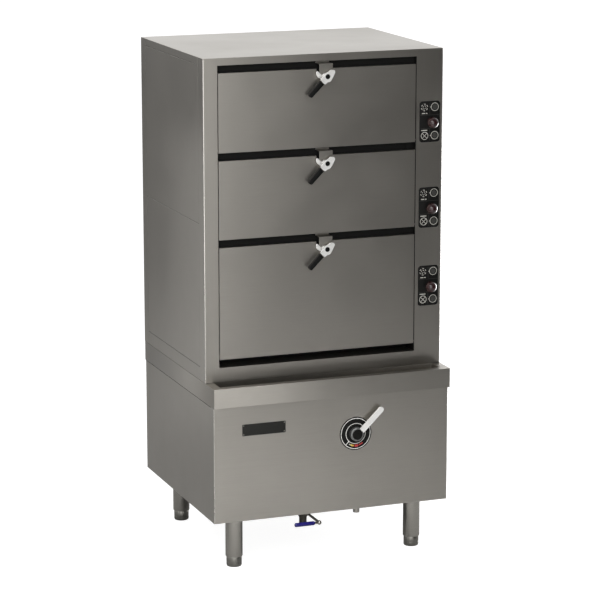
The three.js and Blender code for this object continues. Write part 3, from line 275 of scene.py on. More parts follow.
def softened(node, material, fold=0.6, corner=0.0):
    """A CAD node's sheet metal with its folds and rims eased: its triangles are merged into flat
    faces, and each folded edge is rounded over by the fold's radius in millimetres. Where a
    corner's radius is given, the two upright edges at the node's front get it, and a paler steel
    that paints the fold's highlight."""
    source = NODES[node]
    mesh = source.data.copy()
    mesh.materials.clear()
    mesh.materials.append(material)
    work = bmesh.new()
    work.from_mesh(mesh)
    bmesh.ops.remove_doubles(work, verts=work.verts, dist=SAME_POINT)
    bmesh.ops.dissolve_limit(work, angle_limit=math.radians(SAME_SHEET), verts=work.verts,
                             edges=work.edges)
    if corner:
        # The rounded corner faces take the paler fold steel, a painted highlight along the corner.
        mesh.materials.append(STEEL_FOLD_HIGHLIGHT)
        side = max(abs(vert.co.x) for vert in work.verts)
        front = min(vert.co.y for vert in work.verts)
        uprights = [edge for edge in work.edges
                    if abs(edge.verts[0].co.z - edge.verts[1].co.z) > UPRIGHT_LENGTH
                    and all(abs(abs(vert.co.x) - side) < ON_CORNER
                            and abs(vert.co.y - front) < ON_CORNER for vert in edge.verts)]
        rounding = bmesh.ops.bevel(work, geom=uprights, offset=corner / 1000, segments=4,
                                   profile=0.5, affect="EDGES", clamp_overlap=False, material=1)
        round_faces = set(rounding["faces"])
        for face in round_faces:
            face.material_index = 1
    for face in work.faces:
        face.smooth = True
    for edge in work.edges:
        folded = len(edge.link_faces) == 2 and edge.calc_face_angle() > math.radians(SHARP_FOLD)
        rim = corner and len({face in round_faces for face in edge.link_faces}) == 2
        edge.smooth = not (folded or rim)
    work.to_mesh(mesh)
    work.free()
    thing = bpy.data.objects.new(node + "_sheet", mesh)
    bpy.context.scene.collection.objects.link(thing)
    if fold:
        bevel = thing.modifiers.new("eased_folds", "BEVEL")
        bevel.width = fold / 1000
        bevel.segments = 2
        bevel.limit_method = "ANGLE"
        bevel.angle_limit = math.radians(EASED_FOLD)
        bevel.harden_normals = True
    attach(thing, source["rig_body"])
    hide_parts(node)
    return thing


def box_mm(node):
    """A CAD node's lowest and highest corner in millimetres."""
    low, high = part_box(node)
    return np.array(low) * 1000, np.array(high) * 1000


# Materials

def linear(code):
    """An sRGB hex colour as linear RGBA."""
    channels = [int(code[i:i + 2], 16) / 255 for i in (1, 3, 5)]
    return [c / 12.92 if c <= 0.04045 else ((c + 0.055) / 1.055) ** 2.4 for c in channels] + [1.0]


def add(tree, kind, inputs=None, **settings):
    """A node with its settings, and its inputs either set or linked from another node's output."""
    made = tree.nodes.new(kind)
    for key, value in settings.items():
        setattr(made, key, value)
    for key, value in (inputs or {}).items():
        if isinstance(value, bpy.types.NodeSocket):
            tree.links.new(value, made.inputs[key])
        else:
            made.inputs[key].default_value = value
    return made


def finish(name, colour, second, metallic, roughness, spread, grain, depth, patch=0.004,
           coat=0.0, share=0.5, gloss=0.5):
    """A surface material. The grain is a noise whose cells are (x, y, z) millimetres long. It sets
    the bump, depth millimetres high. A slower noise, patch cells per millimetre, moves the
    roughness by up to the spread. The product of both mixes in up to the share of the second
    colour, as handling marks do. Coat is a clear skin's weight, and gloss the specular level."""
    material = bpy.data.materials.new(name)
    material.use_nodes = True
    tree = material.node_tree
    shader = tree.nodes["Principled BSDF"]
    place = add(tree, "ShaderNodeTexCoord").outputs["Object"]
    grain_place = add(tree, "ShaderNodeMapping",
                      {"Vector": place, "Scale": [1000 / size for size in grain]}).outputs["Vector"]
    fine = add(tree, "ShaderNodeTexNoise", {"Vector": grain_place, "Scale": 1.0, "Detail": 3.0,
                                            "Roughness": 0.6}).outputs["Fac"]
    slow = add(tree, "ShaderNodeTexNoise", {"Vector": place, "Scale": patch * 1000, "Detail": 4.0,
                                            "Roughness": 0.55}).outputs["Fac"]
    marks = add(tree, "ShaderNodeMath", {0: fine, 1: slow}, operation="MULTIPLY").outputs[0]
    marks = add(tree, "ShaderNodeMapRange", {"Value": marks, "From Min": 0.12, "From Max": 0.4,
                                             "To Min": 0.0, "To Max": share}).outputs["Result"]
    mixed = add(tree, "ShaderNodeMix", {"Factor": marks, "A": linear(colour), "B": linear(second)},
                data_type="RGBA")
    shader.inputs["Metallic"].default_value = metallic
    tree.links.new(mixed.outputs["Result"], shader.inputs["Base Color"])
    rough = add(tree, "ShaderNodeMapRange",
                {"Value": slow, "From Min": 0.3, "From Max": 0.7,
                 "To Min": roughness - spread, "To Max": roughness + spread})
    tree.links.new(rough.outputs["Result"], shader.inputs["Roughness"])
    bump = add(tree, "ShaderNodeBump", {"Height": fine, "Strength": 1.0, "Distance": depth / 1000})
    tree.links.new(bump.outputs["Normal"], shader.inputs["Normal"])
    shader.inputs["Coat Weight"].default_value = coat
    shader.inputs["Specular IOR Level"].default_value = gloss
    return material


# Stainless steel, 304, brushed along the sheet's length: satin, faint streaks a few millimetres
# wide. The real brush lines are 0.2 mm apart and too fine to show, so they are drawn 1.5 mm apart.
STEEL_UPRIGHT = finish("brushed_stainless_upright", "#ACA8A1", "#A29E97", 1.0, 0.34, 0.03,
                       (1.5, 1.5, 160.0), 0.004)
STEEL_LEVEL = finish("brushed_stainless_level", "#ACA8A1", "#A29E97", 1.0, 0.34, 0.03,
                     (160.0, 1.5, 1.5), 0.004)
# Stainless steel along a pressed fold: smoother than the sheet, and paler, which is a painted
# highlight along the fold.
STEEL_FOLD_HIGHLIGHT = finish("stainless_fold_painted_highlight", "#CFCCC6", "#C2BFB8", 1.0, 0.26, 0.04,
                    (1.5, 1.5, 60.0), 0.002)
# Stainless steel with a mill finish, milky and without streaks: chambers, racks, tank.
STEEL_MILL = finish("mill_stainless", "#A5A49E", "#97968F", 1.0, 0.3, 0.04, (4.0, 4.0, 4.0), 0.003)
# Stainless tube and bar, ground round: legs, rods and rivets.
STEEL_TUBE = finish("ground_stainless_tube", "#ABA8A1", "#9C9992", 1.0, 0.13, 0.03,
                    (60.0, 60.0, 1.5), 0.002)
# Galvanised steel, dull, with a coarse spangle: carcass frame, gas lever's hub.
STEEL_FRAME = finish("galvanised_steel", "#7C7D7C", "#6A6B6A", 0.8, 0.5, 0.06,
                     (9.0, 9.0, 9.0), 0.01, patch=0.03, share=0.8)
# Near-black matt sheet that paints the shade of the recesses: the strips between the doors, the
# opening's sides.
BLACK_SHADE_SHEET = finish("black_painted_shade", "#121211", "#171716", 0.0, 0.6, 0.05,
                      (1.2, 1.2, 1.2), 0.004, gloss=0.12)
# Zinc casting with a pale satin nickel finish: latch heads, gas lever.
NICKEL_CAST = finish("satin_nickel_zinc_casting", "#ECEBE8", "#E0DFDB", 0.3, 0.3, 0.04,
                     (2.0, 2.0, 2.0), 0.006)
# Glass-filled nylon, moulded with a fine spark-eroded texture: latch grips, lever cap.
NYLON_BLACK = finish("moulded_black_nylon", "#121211", "#191918", 0.0, 0.4, 0.05,
                     (0.8, 0.8, 0.8), 0.01, gloss=0.1)
# Screen-printed polyester sheet, satin black: control plates, dial.
FOIL_BLACK = finish("printed_black_foil", "#161615", "#1B1B1A", 0.0, 0.45, 0.04,
                    (1.5, 1.5, 1.5), 0.002, gloss=0.12)
# Screen-printing inks on the foil.
INK_GREY = finish("pale_grey_ink", "#C6C4BC", "#B8B6AF", 0.0, 0.45, 0.05, (1.0, 1.0, 1.0), 0.001)
INK_WHITE = finish("white_ink", "#E2E1DC", "#D4D3CE", 0.0, 0.45, 0.05, (1.0, 1.0, 1.0), 0.001)
INK_DIM = finish("dim_grey_ink", "#363633", "#30302D", 0.0, 0.45, 0.05, (1.0, 1.0, 1.0), 0.001)
INK_YELLOW = finish("yellow_ink", "#DED278", "#D6B45E", 0.0, 0.45, 0.05, (3.0, 3.0, 3.0), 0.001)
INK_ORANGE = finish("orange_ink", "#D9A03C", "#CF9436", 0.0, 0.45, 0.05, (1.0, 1.0, 1.0), 0.001)
INK_RED = finish("red_ink", "#BE3C3C", "#B03434", 0.0, 0.45, 0.05, (1.0, 1.0, 1.0), 0.001)
# Phenolic resin ball, tumbled to a high gloss: dark maroon with a clear skin.
PHENOLIC_MAROON = finish("maroon_phenolic_resin", "#2B0F11", "#230C0E", 0.0, 0.08, 0.02,
                         (3.0, 3.0, 3.0), 0.0005, coat=0.5)
# Dipped PVC sleeve, glossy navy.
PVC_NAVY = finish("navy_pvc_sleeve", "#15105F", "#1D1778", 0.0, 0.3, 0.05,
                  (2.0, 2.0, 8.0), 0.01)
# Silicone rubber, matt, with a faint bloom: door seals.
SILICONE_DARK = finish("dark_silicone_rubber", "#2A2A29", "#343432", 0.0, 0.75, 0.05,
                       (1.5, 1.5, 1.5), 0.01)
# Dark matt strips in the seams between the side panels: painted shadow of the gaps.
SEAM_SHADOW_DARK = finish("painted_seam_shadow", "#1C1C1B", "#232322", 0.0, 0.8, 0.05,
                      (1.0, 1.0, 1.0), 0.01, gloss=0.15)
# Sand-cast iron, rough and dark: burner.
IRON_CAST = finish("sand_cast_iron", "#3B3A38", "#4A4844", 0.6, 0.68, 0.06,
                   (1.8, 1.8, 1.8), 0.12, share=0.9)
# Hot-pressed brass: gas valve and its pipes.
BRASS_PRESSED = finish("hot_pressed_brass", "#9A8350", "#836F42", 1.0, 0.42, 0.06,
                       (3.0, 3.0, 3.0), 0.02)
# Nickel-plated brass, dulled: drain valve.
BRASS_PLATED = finish("dull_plated_brass", "#5E5C57", "#4C4A45", 1.0, 0.5, 0.06,
                      (3.0, 3.0, 3.0), 0.02)
# Stainless steel turned from bar and left dull: feet.
STEEL_TURNED = finish("turned_stainless", "#8B8983", "#7C7A74", 1.0, 0.32, 0.04,
                      (30.0, 30.0, 1.2), 0.003)
# Anodised aluminium nameplate, dark and bare.
ALUMINIUM_DARK = finish("dark_anodised_aluminium", "#232321", "#1E1E1C", 0.0, 0.45, 0.03,
                        (60.0, 1.0, 0.6), 0.002, gloss=0.15)


# Sheet metal carried over from the solids with eased folds. The corners' radii are in millimetres.

PRESSED_CORNER = 3.2
FOLDED_CORNER = 2.0
THIN_FOLD = 0.4

for node in ("side_panel_left_lower", "side_panel_left_upper", "side_panel_right_lower",
             "side_panel_right_upper", "back_panel", "base_skirt"):
    softened(node, STEEL_UPRIGHT)
face_sheet = softened("face_frame", STEEL_UPRIGHT,
                      corner=PRESSED_CORNER)
# The two side returns of its opening are black as painted shade of the gaps beside the doors, like
# the carrier behind them. They face sideways, less than 410 mm from the middle and 2 mm or more
# behind the face.
face_sheet.data.materials.append(BLACK_SHADE_SHEET)
for sheet in face_sheet.data.polygons:
    if (abs(sheet.normal.x) > 0.9 and abs(sheet.center.x) < 0.41
            and sheet.center.y > FACE / 1000 + 0.002):
        sheet.material_index = 2
for node in ("top_cover", "keeper_1", "keeper_2", "keeper_3"):
    softened(node, STEEL_LEVEL)
for node in ("gutter_deck", "base_front_panel"):
    softened(node, STEEL_LEVEL, corner=FOLDED_CORNER)
for number in (1, 2, 3):
    softened(f"door_outer_{number}", STEEL_LEVEL)
    softened(f"door_inner_{number}", STEEL_MILL)
    softened(f"chamber_liner_{number}", STEEL_MILL, fold=THIN_FOLD)
    softened(f"door_seal_{number}", SILICONE_DARK)
# The carrier's strips between the doors are black as painted shade of the recess behind the doors.
softened("seal_carrier", BLACK_SHADE_SHEET)
for node, material, slot in (("carcass_frame", STEEL_FRAME, "frame_steel"),
                             ("leg_stand", STEEL_TUBE, "frame_steel"),
                             ("water_tank", STEEL_MILL, "liner_steel"),
                             ("steam_riser", STEEL_MILL, "liner_steel"),
                             ("burner", IRON_CAST, "cast_iron"),
                             ("gas_valve", BRASS_PRESSED, "brass"),
                             ("drain_valve", BRASS_PLATED, "brass")):
    softened(node, material, fold=0)


# Seams of the side walls: a dark strip lies in each gap as painted shadow, its face drawn in
# between the sheets.

SEAM_HALF = 0.6
SEAM_DEPTH, SEAM_WIDTH = 0.9, 1.2
APRON_SEAM = 609.2
APRON_SEAM_DEPTH, APRON_SEAM_WIDTH = 2.4, 1.6


def seam_shadow_strip(start, end, side, depth, width):
    """A dark strip of painted seam shadow from start to end, on the wall that faces the side's way
    in X: six points across the seam, the middle ones drawn in by a quarter of the strip's depth."""
    start, end = np.asarray(start, float), np.asarray(end, float)
    along = (end - start) / np.linalg.norm(end - start)
    across = np.cross(along, [side, 0, 0])
    shape = [(-0.5, -1), (-0.5, 0), (-0.2, -0.25), (0.2, -0.25), (0.5, 0), (0.5, -1)]
    section = np.array([across * a * width + np.array([side, 0, 0]) * b * depth for a, b in shape])
    return loft([start + section, end + section])


for hand, side in (("left", -1), ("right", 1)):
    low, high = box_mm(f"side_panel_{hand}_lower")
    upper_low, upper_high = box_mm(f"side_panel_{hand}_upper")
    wall = (low[0] if side < 0 else high[0]) - side * 0.5
    fore, aft = low[1] - SEAM_HALF, high[1] + SEAM_HALF
    ground, ceiling = low[2] - SEAM_HALF, upper_high[2] + SEAM_HALF
    level_seams = (ground, (high[2] + upper_low[2]) / 2, ceiling)
    runs = [((wall, fore, z), (wall, aft, z)) for z in level_seams]
    runs += [((wall, y, ground), (wall, y, ceiling)) for y in (fore, aft)]
    seam_shadow_strips = [(seam_shadow_strip(start, end, side, SEAM_DEPTH, SEAM_WIDTH), 0) for start, end in runs]
    # The seam under the gutter deck's apron runs along the base's side, 2 mm short of its ends; its
    # strip paints the shadow under the apron's lip.
    skirt_low, skirt_high = box_mm("base_skirt")
    skirt_wall = wall + side * 0.2
    seam_shadow_strips.append((seam_shadow_strip((skirt_wall, skirt_low[1] + 2, APRON_SEAM),
                       (skirt_wall, skirt_high[1] - 2, APRON_SEAM),
                       side, APRON_SEAM_DEPTH, APRON_SEAM_WIDTH), 0))
    piece(f"seam_shadows_{hand}", seam_shadow_strips, [SEAM_SHADOW_DARK], "root")


# Latches: a cast head over a wing on a post, with a nylon grip. Each pivot is its joint's place,
# and the outlines are (X, Z) from it, as shares of the latch's reach.

PIVOTS = {joint["name"]: [1000 * value for value in joint["pos_m"]]
          for joint in frame["joints"] if "pos_m" in joint}
HEAD_SHARES = [(-0.97, -0.36), (-0.35, -0.98), (0.03, -0.66), (0.19, -0.71), (0.4, -0.57),
               (0.6, -0.24), (0.98, 0.46), (0.94, 0.68), (0.77, 0.8), (0.3, 0.81), (0.13, 0.6),
               (-0.22, 0.45)]
WING_SHARES = [(0.2, 0.2), (-0.52, 0.14), (-0.99, 0.62), (-1.12, 0.62), (-1.21, 0.41),
               (-1.17, 0.17), (-0.98, -0.14), (-0.6, -0.4), (0.1, -0.26)]
LATCH_REACH = 28.5
HEAD_FRONT = FACE - 36.0
HEAD_SHEET = 5.5
HEAD_RIM, HEAD_LAND, HEAD_DISH = 1.1, 0.9, 0.5
HEAD_CORNER, WING_CORNER = 0.19, 0.275
WING_FRONT, WING_BACK, WING_RIM = FACE - 12.0, FACE - 7.0, 1.0
GRIP_TURN = math.radians(226)
GRIP_THICKNESS, GRIP_RIM = 16, 2.2
# The grip's outline along its length and across it, and its corners' radii.
GRIP_BAR = rounded([(28.8, -9), (94.8, -7.74), (94.8, 7.74), (28.8, 9)], [0.8, 7, 7, 0.8])
# The post with its spindle and washer: (radius, depth), from behind the head to inside the door.
POST = [(0, HEAD_FRONT + 3), (9, HEAD_FRONT + 3), (9, FACE - 14), (11, FACE - 13), (11, FACE - 1.3),
        (10, FACE - 0.3), (4.7, FACE - 0.3), (4.7, FACE + 1.5), (8, FACE + 1.5), (8, FACE + 4.5),
        (0, FACE + 4.5)]
# The round plug over the pivot's screw: a low crown with a shallow recess.
PLUG = [(0, HEAD_FRONT + 0.3), (3.6, HEAD_FRONT + 0.3), (4.2, HEAD_FRONT + 0.1),
        (7.9, HEAD_FRONT + 0.1), (8.7, HEAD_FRONT + 0.4), (8.7, HEAD_FRONT + 1)]


def eased(shares, pivot, share):
    """The latch outline that shares of its reach give: each corner is a quadratic arc that starts
    the given share of each edge away from it."""
    corners = np.asarray(shares, float) * LATCH_REACH + [pivot[0], pivot[2]]
    t = np.linspace(0, 1, 6)[:, None]
    before, after = np.roll(corners, 1, 0), np.roll(corners, -1, 0)
    arcs = []
    for corner, last, following in zip(corners, before, after):
        start = corner + (last - corner) * share
        end = corner + (following - corner) * share
        arcs.append((1 - t) ** 2 * start + 2 * t * (1 - t) * corner + t ** 2 * end)
    return np.concatenate(arcs)


def dished(outline, front, back, rim, land, dish):
    """A casting seen from the front: its side runs from the back to a rounded front rim, then a
    flat land, then a step down by the dish to the field. The rings are the outline moved in."""
    outline = anticlockwise(outline)
    angle = np.linspace(0, math.pi / 2, 5)
    moves = [(0.4, back), (0, back - 0.4)]
    moves += [(rim * (1 - math.cos(a)), front + rim * (1 - math.sin(a))) for a in angle]
    moves += [(rim + land, front), (rim + land + dish, front + dish)]
    rings = []
    for amount, depth in moves:
        flat = inset(outline, amount)
        rings.append(np.stack([flat[:, 0], np.full(len(flat), depth), flat[:, 1]], 1))
    return loft(rings)


def towards_grip(outline, pivot):
    """An outline drawn along the grip from the pivot, turned to the grip's angle."""
    x, z = np.asarray(outline, float).T
    return np.stack([pivot[0] + x * math.cos(GRIP_TURN) - z * math.sin(GRIP_TURN),
                     pivot[2] + x * math.sin(GRIP_TURN) + z * math.cos(GRIP_TURN)], 1)


for number in (1, 2, 3):
    pivot = PIVOTS[f"latch_{number}_turn"]
    centre = (pivot[0], 0, pivot[2])
    head = dished(eased(HEAD_SHARES, pivot, HEAD_CORNER), HEAD_FRONT, HEAD_FRONT + HEAD_SHEET,
                  HEAD_RIM, HEAD_LAND, HEAD_DISH)
    wing = slab(eased(WING_SHARES, pivot, WING_CORNER), WING_FRONT, WING_BACK, WING_RIM)
    piece(f"latch_casting_{number}",
          [(head, 0), (wing, 0), (turned(POST, centre, "y"), 0), (turned(PLUG, centre, "y"), 1)],
          [NICKEL_CAST, NYLON_BLACK], f"latch_{number}", [f"latch_head_{number}"])
    grip = slab(towards_grip(GRIP_BAR, pivot), HEAD_FRONT, HEAD_FRONT + GRIP_THICKNESS, GRIP_RIM)
    piece(f"latch_handle_{number}", [(grip, 0)], [NYLON_BLACK], f"latch_{number}",
          [f"latch_grip_{number}"], sharp=50)


# Control plates with their printed marks, ball knobs and rods

def cross(centre, reach, width, y, thickness):
    """A printed X: two strokes through a centre at 45 degrees."""
    x, z = centre
    return [stroke((x - reach, z - reach), (x + reach, z + reach), width, y, thickness),
            stroke((x - reach, z + reach), (x + reach, z - reach), width, y, thickness)]


CONTROL_X = 400.1
COLUMN = 19.4
PRINT = 0.06
FOIL, FOIL_CORNER, FOIL_RIM = 0.8, 11, 0.25
# Printed marks in millimetres: rings as (inner, outer) radii, heights above the plate's middle.
LAMP_HEIGHTS, LAMP_RING, LAMP_DISC, LAMP_TICK = (52.0, -50.0), (12.9, 14.9), (0.5, 9.5), 2.6
CLOSED_HEIGHT, CLOSED_RING, CLOSED_REACH, CLOSED_STROKE = -50.6, (12.2, 14.1), 8.6, 1.7
STEAM_HEIGHT, STEAM_OUTER, STEAM_INNER = 51.5, (10.6, 13.0), (4.6, 6.6)
# Short bars as (from, to, height) about the left column, and fine lines' heights and runs.
BARS, BAR_WIDTH = ((-11, 1, 30), (4, 10, 30), (-13, 10, -31)), 3.0
LEVEL_LINES, UPRIGHT_LINES, LINE_WIDTH, LINE_MARGIN = (23.5, -24.0), ((26, 68), (-68, -27)), 1.0, 3
BALL_RADIUS, BALL_FLAT, BALL_PROUD = 20, 6.5, 29.0
ROD_RADIUS, DAMPER_RADIUS, DAMPER_SHEET, DAMPER_EDGE = 5, 17, 3, 0.6


def control_marks(low, high, middle, y):
    """A control plate's prints: two lamp rings with discs on the right, a crossed ring and a
    dashed steam sign on the left, short bars, and fine lines across and upright."""
    right, left = CONTROL_X + COLUMN, CONTROL_X - COLUMN
    marks = []
    for height in LAMP_HEIGHTS:
        lamp_place = (right, middle + height)
        marks += [(band(*LAMP_RING, y, PRINT, lamp_place), 0),
                  (band(*LAMP_DISC, y, PRINT, lamp_place), 1),
                  (stroke((CONTROL_X + 1.5, middle + height), (CONTROL_X + 4.5, middle + height),
                          LAMP_TICK, y, PRINT), 0)]
    closed = (left, middle + CLOSED_HEIGHT)
    marks += [(band(*CLOSED_RING, y, PRINT, closed), 0)]
    marks += [(bar, 0) for bar in cross(closed, CLOSED_REACH, CLOSED_STROKE, y, PRINT)]
    steam = (left - 1, middle + STEAM_HEIGHT)
    marks += [(band(*STEAM_OUTER, y, PRINT, steam, start, start + 30), 0)
              for start in range(10, 360, 60)]
    marks += [(band(*STEAM_INNER, y, PRINT, steam, start, start + 50), 0)
              for start in range(40, 400, 90)]
    marks += [(stroke((left + near, middle + height), (left + far, middle + height), BAR_WIDTH, y,
                      PRINT), 0) for near, far, height in BARS]
    marks += [(stroke((low[0] + LINE_MARGIN, middle + height),
                      (high[0] - LINE_MARGIN, middle + height), LINE_WIDTH, y, PRINT), 1)
              for height in LEVEL_LINES]
    marks += [(stroke((CONTROL_X, middle + near), (CONTROL_X, middle + far), LINE_WIDTH, y,
                      PRINT), 1) for near, far in UPRIGHT_LINES]
    return marks


for number in (1, 2, 3):
    low, high = box_mm(f"control_plate_{number}")
    middle = (low[2] + high[2]) / 2
    face = FACE - FOIL
    plate = slab(rounded_box(low[0], low[2], high[0], high[2], FOIL_CORNER), face, FACE, FOIL_RIM,
                 steps=2)
    piece(f"control_foil_{number}", [(plate, 0)], [FOIL_BLACK], "root", [f"control_plate_{number}"])
    piece(f"control_print_{number}", control_marks(low, high, middle, face - PRINT),
          [INK_GREY, INK_DIM], "root")
    angle = np.linspace(0, math.pi - math.asin(BALL_FLAT / BALL_RADIUS), 40)
    ball = turned(np.stack([BALL_RADIUS * np.sin(angle), -BALL_RADIUS * np.cos(angle)], 1),
                  (CONTROL_X, FACE - BALL_PROUD, middle), "y", 64)
    piece(f"knob_resin_{number}", [(ball, 0)], [PHENOLIC_MAROON], f"knob_{number}",
          [f"knob_ball_{number}"])
    rod_low, rod_high = box_mm(f"damper_rod_{number}")
    front, seat = rod_low[1], rod_high[1]
    rod = turned([(0, front), (ROD_RADIUS, front), (ROD_RADIUS, seat - DAMPER_SHEET),
                  (DAMPER_RADIUS - DAMPER_EDGE, seat - DAMPER_SHEET),
                  (DAMPER_RADIUS, seat - DAMPER_SHEET + DAMPER_EDGE), (DAMPER_RADIUS, seat),
                  (0, seat)], (CONTROL_X, 0, middle), "y")
    piece(f"damper_stem_{number}", [(rod, 0)], [STEEL_TUBE], f"knob_{number}",
          [f"damper_rod_{number}"])


# Dial, gas lever and its cap

DIAL_X, DIAL_Z = PIVOTS["gas_lever_turn"][0], PIVOTS["gas_lever_turn"][2]
DIAL_CENTRE = (DIAL_X, 0, DIAL_Z)
DIAL_RADIUS, DIAL_EDGE = 61, 0.4
DIAL_FACE = PANEL_FACE - 1.0
DIAL_RINGS = ((54.6, 57.0), (36.0, 38.2))
DIAL_STROKE_TURN, DIAL_STROKE_REACH, DIAL_STROKE_WIDTH = math.radians(226), (38.5, 54.5), 2.6
# Arcs of the scale: inner and outer radius, start and end in degrees, and the ink's number.
DIAL_ARCS = ((43.5, 46.5, 236, 241, 0), (42.0, 47.5, 243, 252, 1), (42.0, 47.5, 252, 262, 2),
             (41.0, 49.0, 265, 283, 3), (42.5, 47.0, 287, 307, 3))
HUB_FRONT = PANEL_FACE - 19.5
LEVER_FRONT = PANEL_FACE - 25.0
LEVER_TURN = math.radians(44)
LEVER_SHEET, LEVER_RIM, LEVER_LAND, LEVER_DISH = 5, 0.7, 1.1, 0.3
LEVER_ROOT, LEVER_REACH, LEVER_HALF, LEVER_EASE = 19.9, 122.5, 10.5, 0.5

disc = turned([(0, DIAL_FACE), (DIAL_RADIUS - DIAL_EDGE, DIAL_FACE),
               (DIAL_RADIUS, DIAL_FACE + DIAL_EDGE), (DIAL_RADIUS, PANEL_FACE), (0, PANEL_FACE)],
              DIAL_CENTRE, "y", 96)
piece("dial_disc", [(disc, 0)], [FOIL_BLACK], "root", ["dial_plate"])
y = DIAL_FACE - PRINT
middle = (DIAL_X, DIAL_Z)
stroke_ends = [(DIAL_X + r * math.cos(DIAL_STROKE_TURN), DIAL_Z + r * math.sin(DIAL_STROKE_TURN))
               for r in DIAL_STROKE_REACH]
marks = [(band(inner, outer, y, PRINT, middle), 0) for inner, outer in DIAL_RINGS]
marks += [(stroke(*stroke_ends, DIAL_STROKE_WIDTH, y, PRINT), 0)]
marks += [(band(inner, outer, y, PRINT, middle, start, end), ink)
          for inner, outer, start, end, ink in DIAL_ARCS]
piece("dial_print", marks, [INK_WHITE, INK_YELLOW, INK_ORANGE, INK_RED], "root")

# The hub's profile: a pocket for the cap, a bevelled front rim, the skirt, and the spindle behind.
hub = turned([(0, HUB_FRONT + 2), (19.3, HUB_FRONT + 2), (19.3, HUB_FRONT), (22.2, HUB_FRONT),
              (23.6, HUB_FRONT + 0.6), (25, HUB_FRONT + 2), (25, DIAL_FACE - 1.2),
              (24.4, DIAL_FACE - 0.3), (6, DIAL_FACE - 0.3), (6, PANEL_FACE + 13.5),
              (0, PANEL_FACE + 13.5)], DIAL_CENTRE, "y", 64)
angle = np.linspace(-math.pi / 2, math.pi / 2, 17)
root_far = LEVER_ROOT + 0.6
flat = np.concatenate([[(LEVER_ROOT, LEVER_EASE - LEVER_HALF), (root_far, -LEVER_HALF)],
                       np.stack([LEVER_REACH + LEVER_HALF * np.cos(angle),
                                 LEVER_HALF * np.sin(angle)], 1),
                       [(root_far, LEVER_HALF), (LEVER_ROOT, LEVER_HALF - LEVER_EASE)]])
cosine, sine = math.cos(LEVER_TURN), math.sin(LEVER_TURN)
bar = np.stack([DIAL_X + flat[:, 0] * cosine - flat[:, 1] * sine,
                DIAL_Z + flat[:, 0] * sine + flat[:, 1] * cosine], 1)
lever = dished(bar, LEVER_FRONT, LEVER_FRONT + LEVER_SHEET, LEVER_RIM, LEVER_LAND, LEVER_DISH)
piece("lever_casting", [(hub, 1), (lever, 0)], [NICKEL_CAST, STEEL_FRAME], "gas_lever",
      ["gas_lever"])
cap = turned([(0, HUB_FRONT - 2), (15.5, HUB_FRONT - 2), (17.4, HUB_FRONT - 1.7),
              (18.6, HUB_FRONT - 0.9), (19, HUB_FRONT), (19, HUB_FRONT + 1.7),
              (0, HUB_FRONT + 1.7)], DIAL_CENTRE, "y", 64)
piece("lever_cap", [(cap, 0)], [NYLON_BLACK], "gas_lever", ["gas_lever_cap"])


# Bare nameplate with four rivets, on the base's front panel

PLATE_LEFT, PLATE_BOTTOM, PLATE_RIGHT, PLATE_TOP = -341.0, 499.0, -178.5, 541.4
PLATE_SHEET, PLATE_CORNER, PLATE_RIM = 1.0, 3, 0.25
RIVET_INSET, RIVET_RADIUS, RIVET_CROWN, RIVET_FLAT = 5, 2, 0.7, 1.2

plate = slab(rounded_box(PLATE_LEFT, PLATE_BOTTOM, PLATE_RIGHT, PLATE_TOP, PLATE_CORNER),
             PANEL_FACE - PLATE_SHEET, PANEL_FACE, PLATE_RIM, steps=2)
shells = [(plate, 0)]
crown = PANEL_FACE - PLATE_SHEET - RIVET_CROWN
rivet = [(0, crown), (RIVET_FLAT, crown + 0.1), (RIVET_RADIUS, PANEL_FACE - PLATE_SHEET),
         (RIVET_RADIUS, PANEL_FACE)]
for x in (PLATE_LEFT + RIVET_INSET, PLATE_RIGHT - RIVET_INSET):
    for z in (PLATE_BOTTOM + RIVET_INSET, PLATE_TOP - RIVET_INSET):
        shells.append((turned(rivet, (x, 0, z), "y", 16), 1))
piece("bare_nameplate", shells, [ALUMINIUM_DARK, STEEL_TUBE], "root")


# Drain rod, its end ball and sleeve

DRAIN_ROD_RADIUS, DRAIN_BALL_RADIUS = 4.8, 8.2
SLEEVE_RADIUS, SLEEVE_END, SLEEVE_BORE, SLEEVE_WALL = 7.5, 3.75, 5.1, 2.4

rod_low, rod_high = box_mm("drain_rod")
DRAIN_X, DRAIN_Z = PIVOTS["drain_handle_turn"][0], PIVOTS["drain_handle_turn"][2]
rod_y = rod_low[1] + DRAIN_BALL_RADIUS
elbow = (DRAIN_X, rod_y, DRAIN_Z)
shaft = swept([elbow, (DRAIN_X, rod_high[1], DRAIN_Z)], DRAIN_ROD_RADIUS, 24)
angle = np.linspace(0, math.pi, 17)
ball = turned(np.stack([DRAIN_BALL_RADIUS * np.sin(angle), -DRAIN_BALL_RADIUS * np.cos(angle)], 1),
              elbow, "y", 32)
arm = swept([elbow, (rod_low[0], rod_y, DRAIN_Z)], DRAIN_ROD_RADIUS, 24)
piece("drain_crank", [(shaft, 0), (ball, 0), (arm, 0)], [STEEL_TUBE], "drain_handle", ["drain_rod"])
grip_low, grip_high = box_mm("drain_grip")
left, right = grip_low[0], grip_high[0]
# The sleeve's profile: a rounded closed end, a waisted mouth, and the bore.
profile = [(0, left)]
profile += [(SLEEVE_RADIUS - SLEEVE_END * (1 - math.sin(a)), left + SLEEVE_END * (1 - math.cos(a)))
            for a in np.linspace(0, math.pi / 2, 9)]
profile += [(SLEEVE_RADIUS, right - 3.0), (7.3, right - 2.2), (6.4, right - 1.2), (5.6, right),
            (SLEEVE_BORE, right), (SLEEVE_BORE, left + SLEEVE_WALL)]
sleeve = turned(profile, (0, rod_y, DRAIN_Z), "x", 40)
piece("drain_sleeve", [(sleeve, 0)], [PVC_NAVY], "drain_handle", ["drain_grip"],
      sharp=50)


# Legs' adjustable feet

FOOT_TOP, STEM_RADIUS, STEM_LENGTH = 37.4, 8, 60
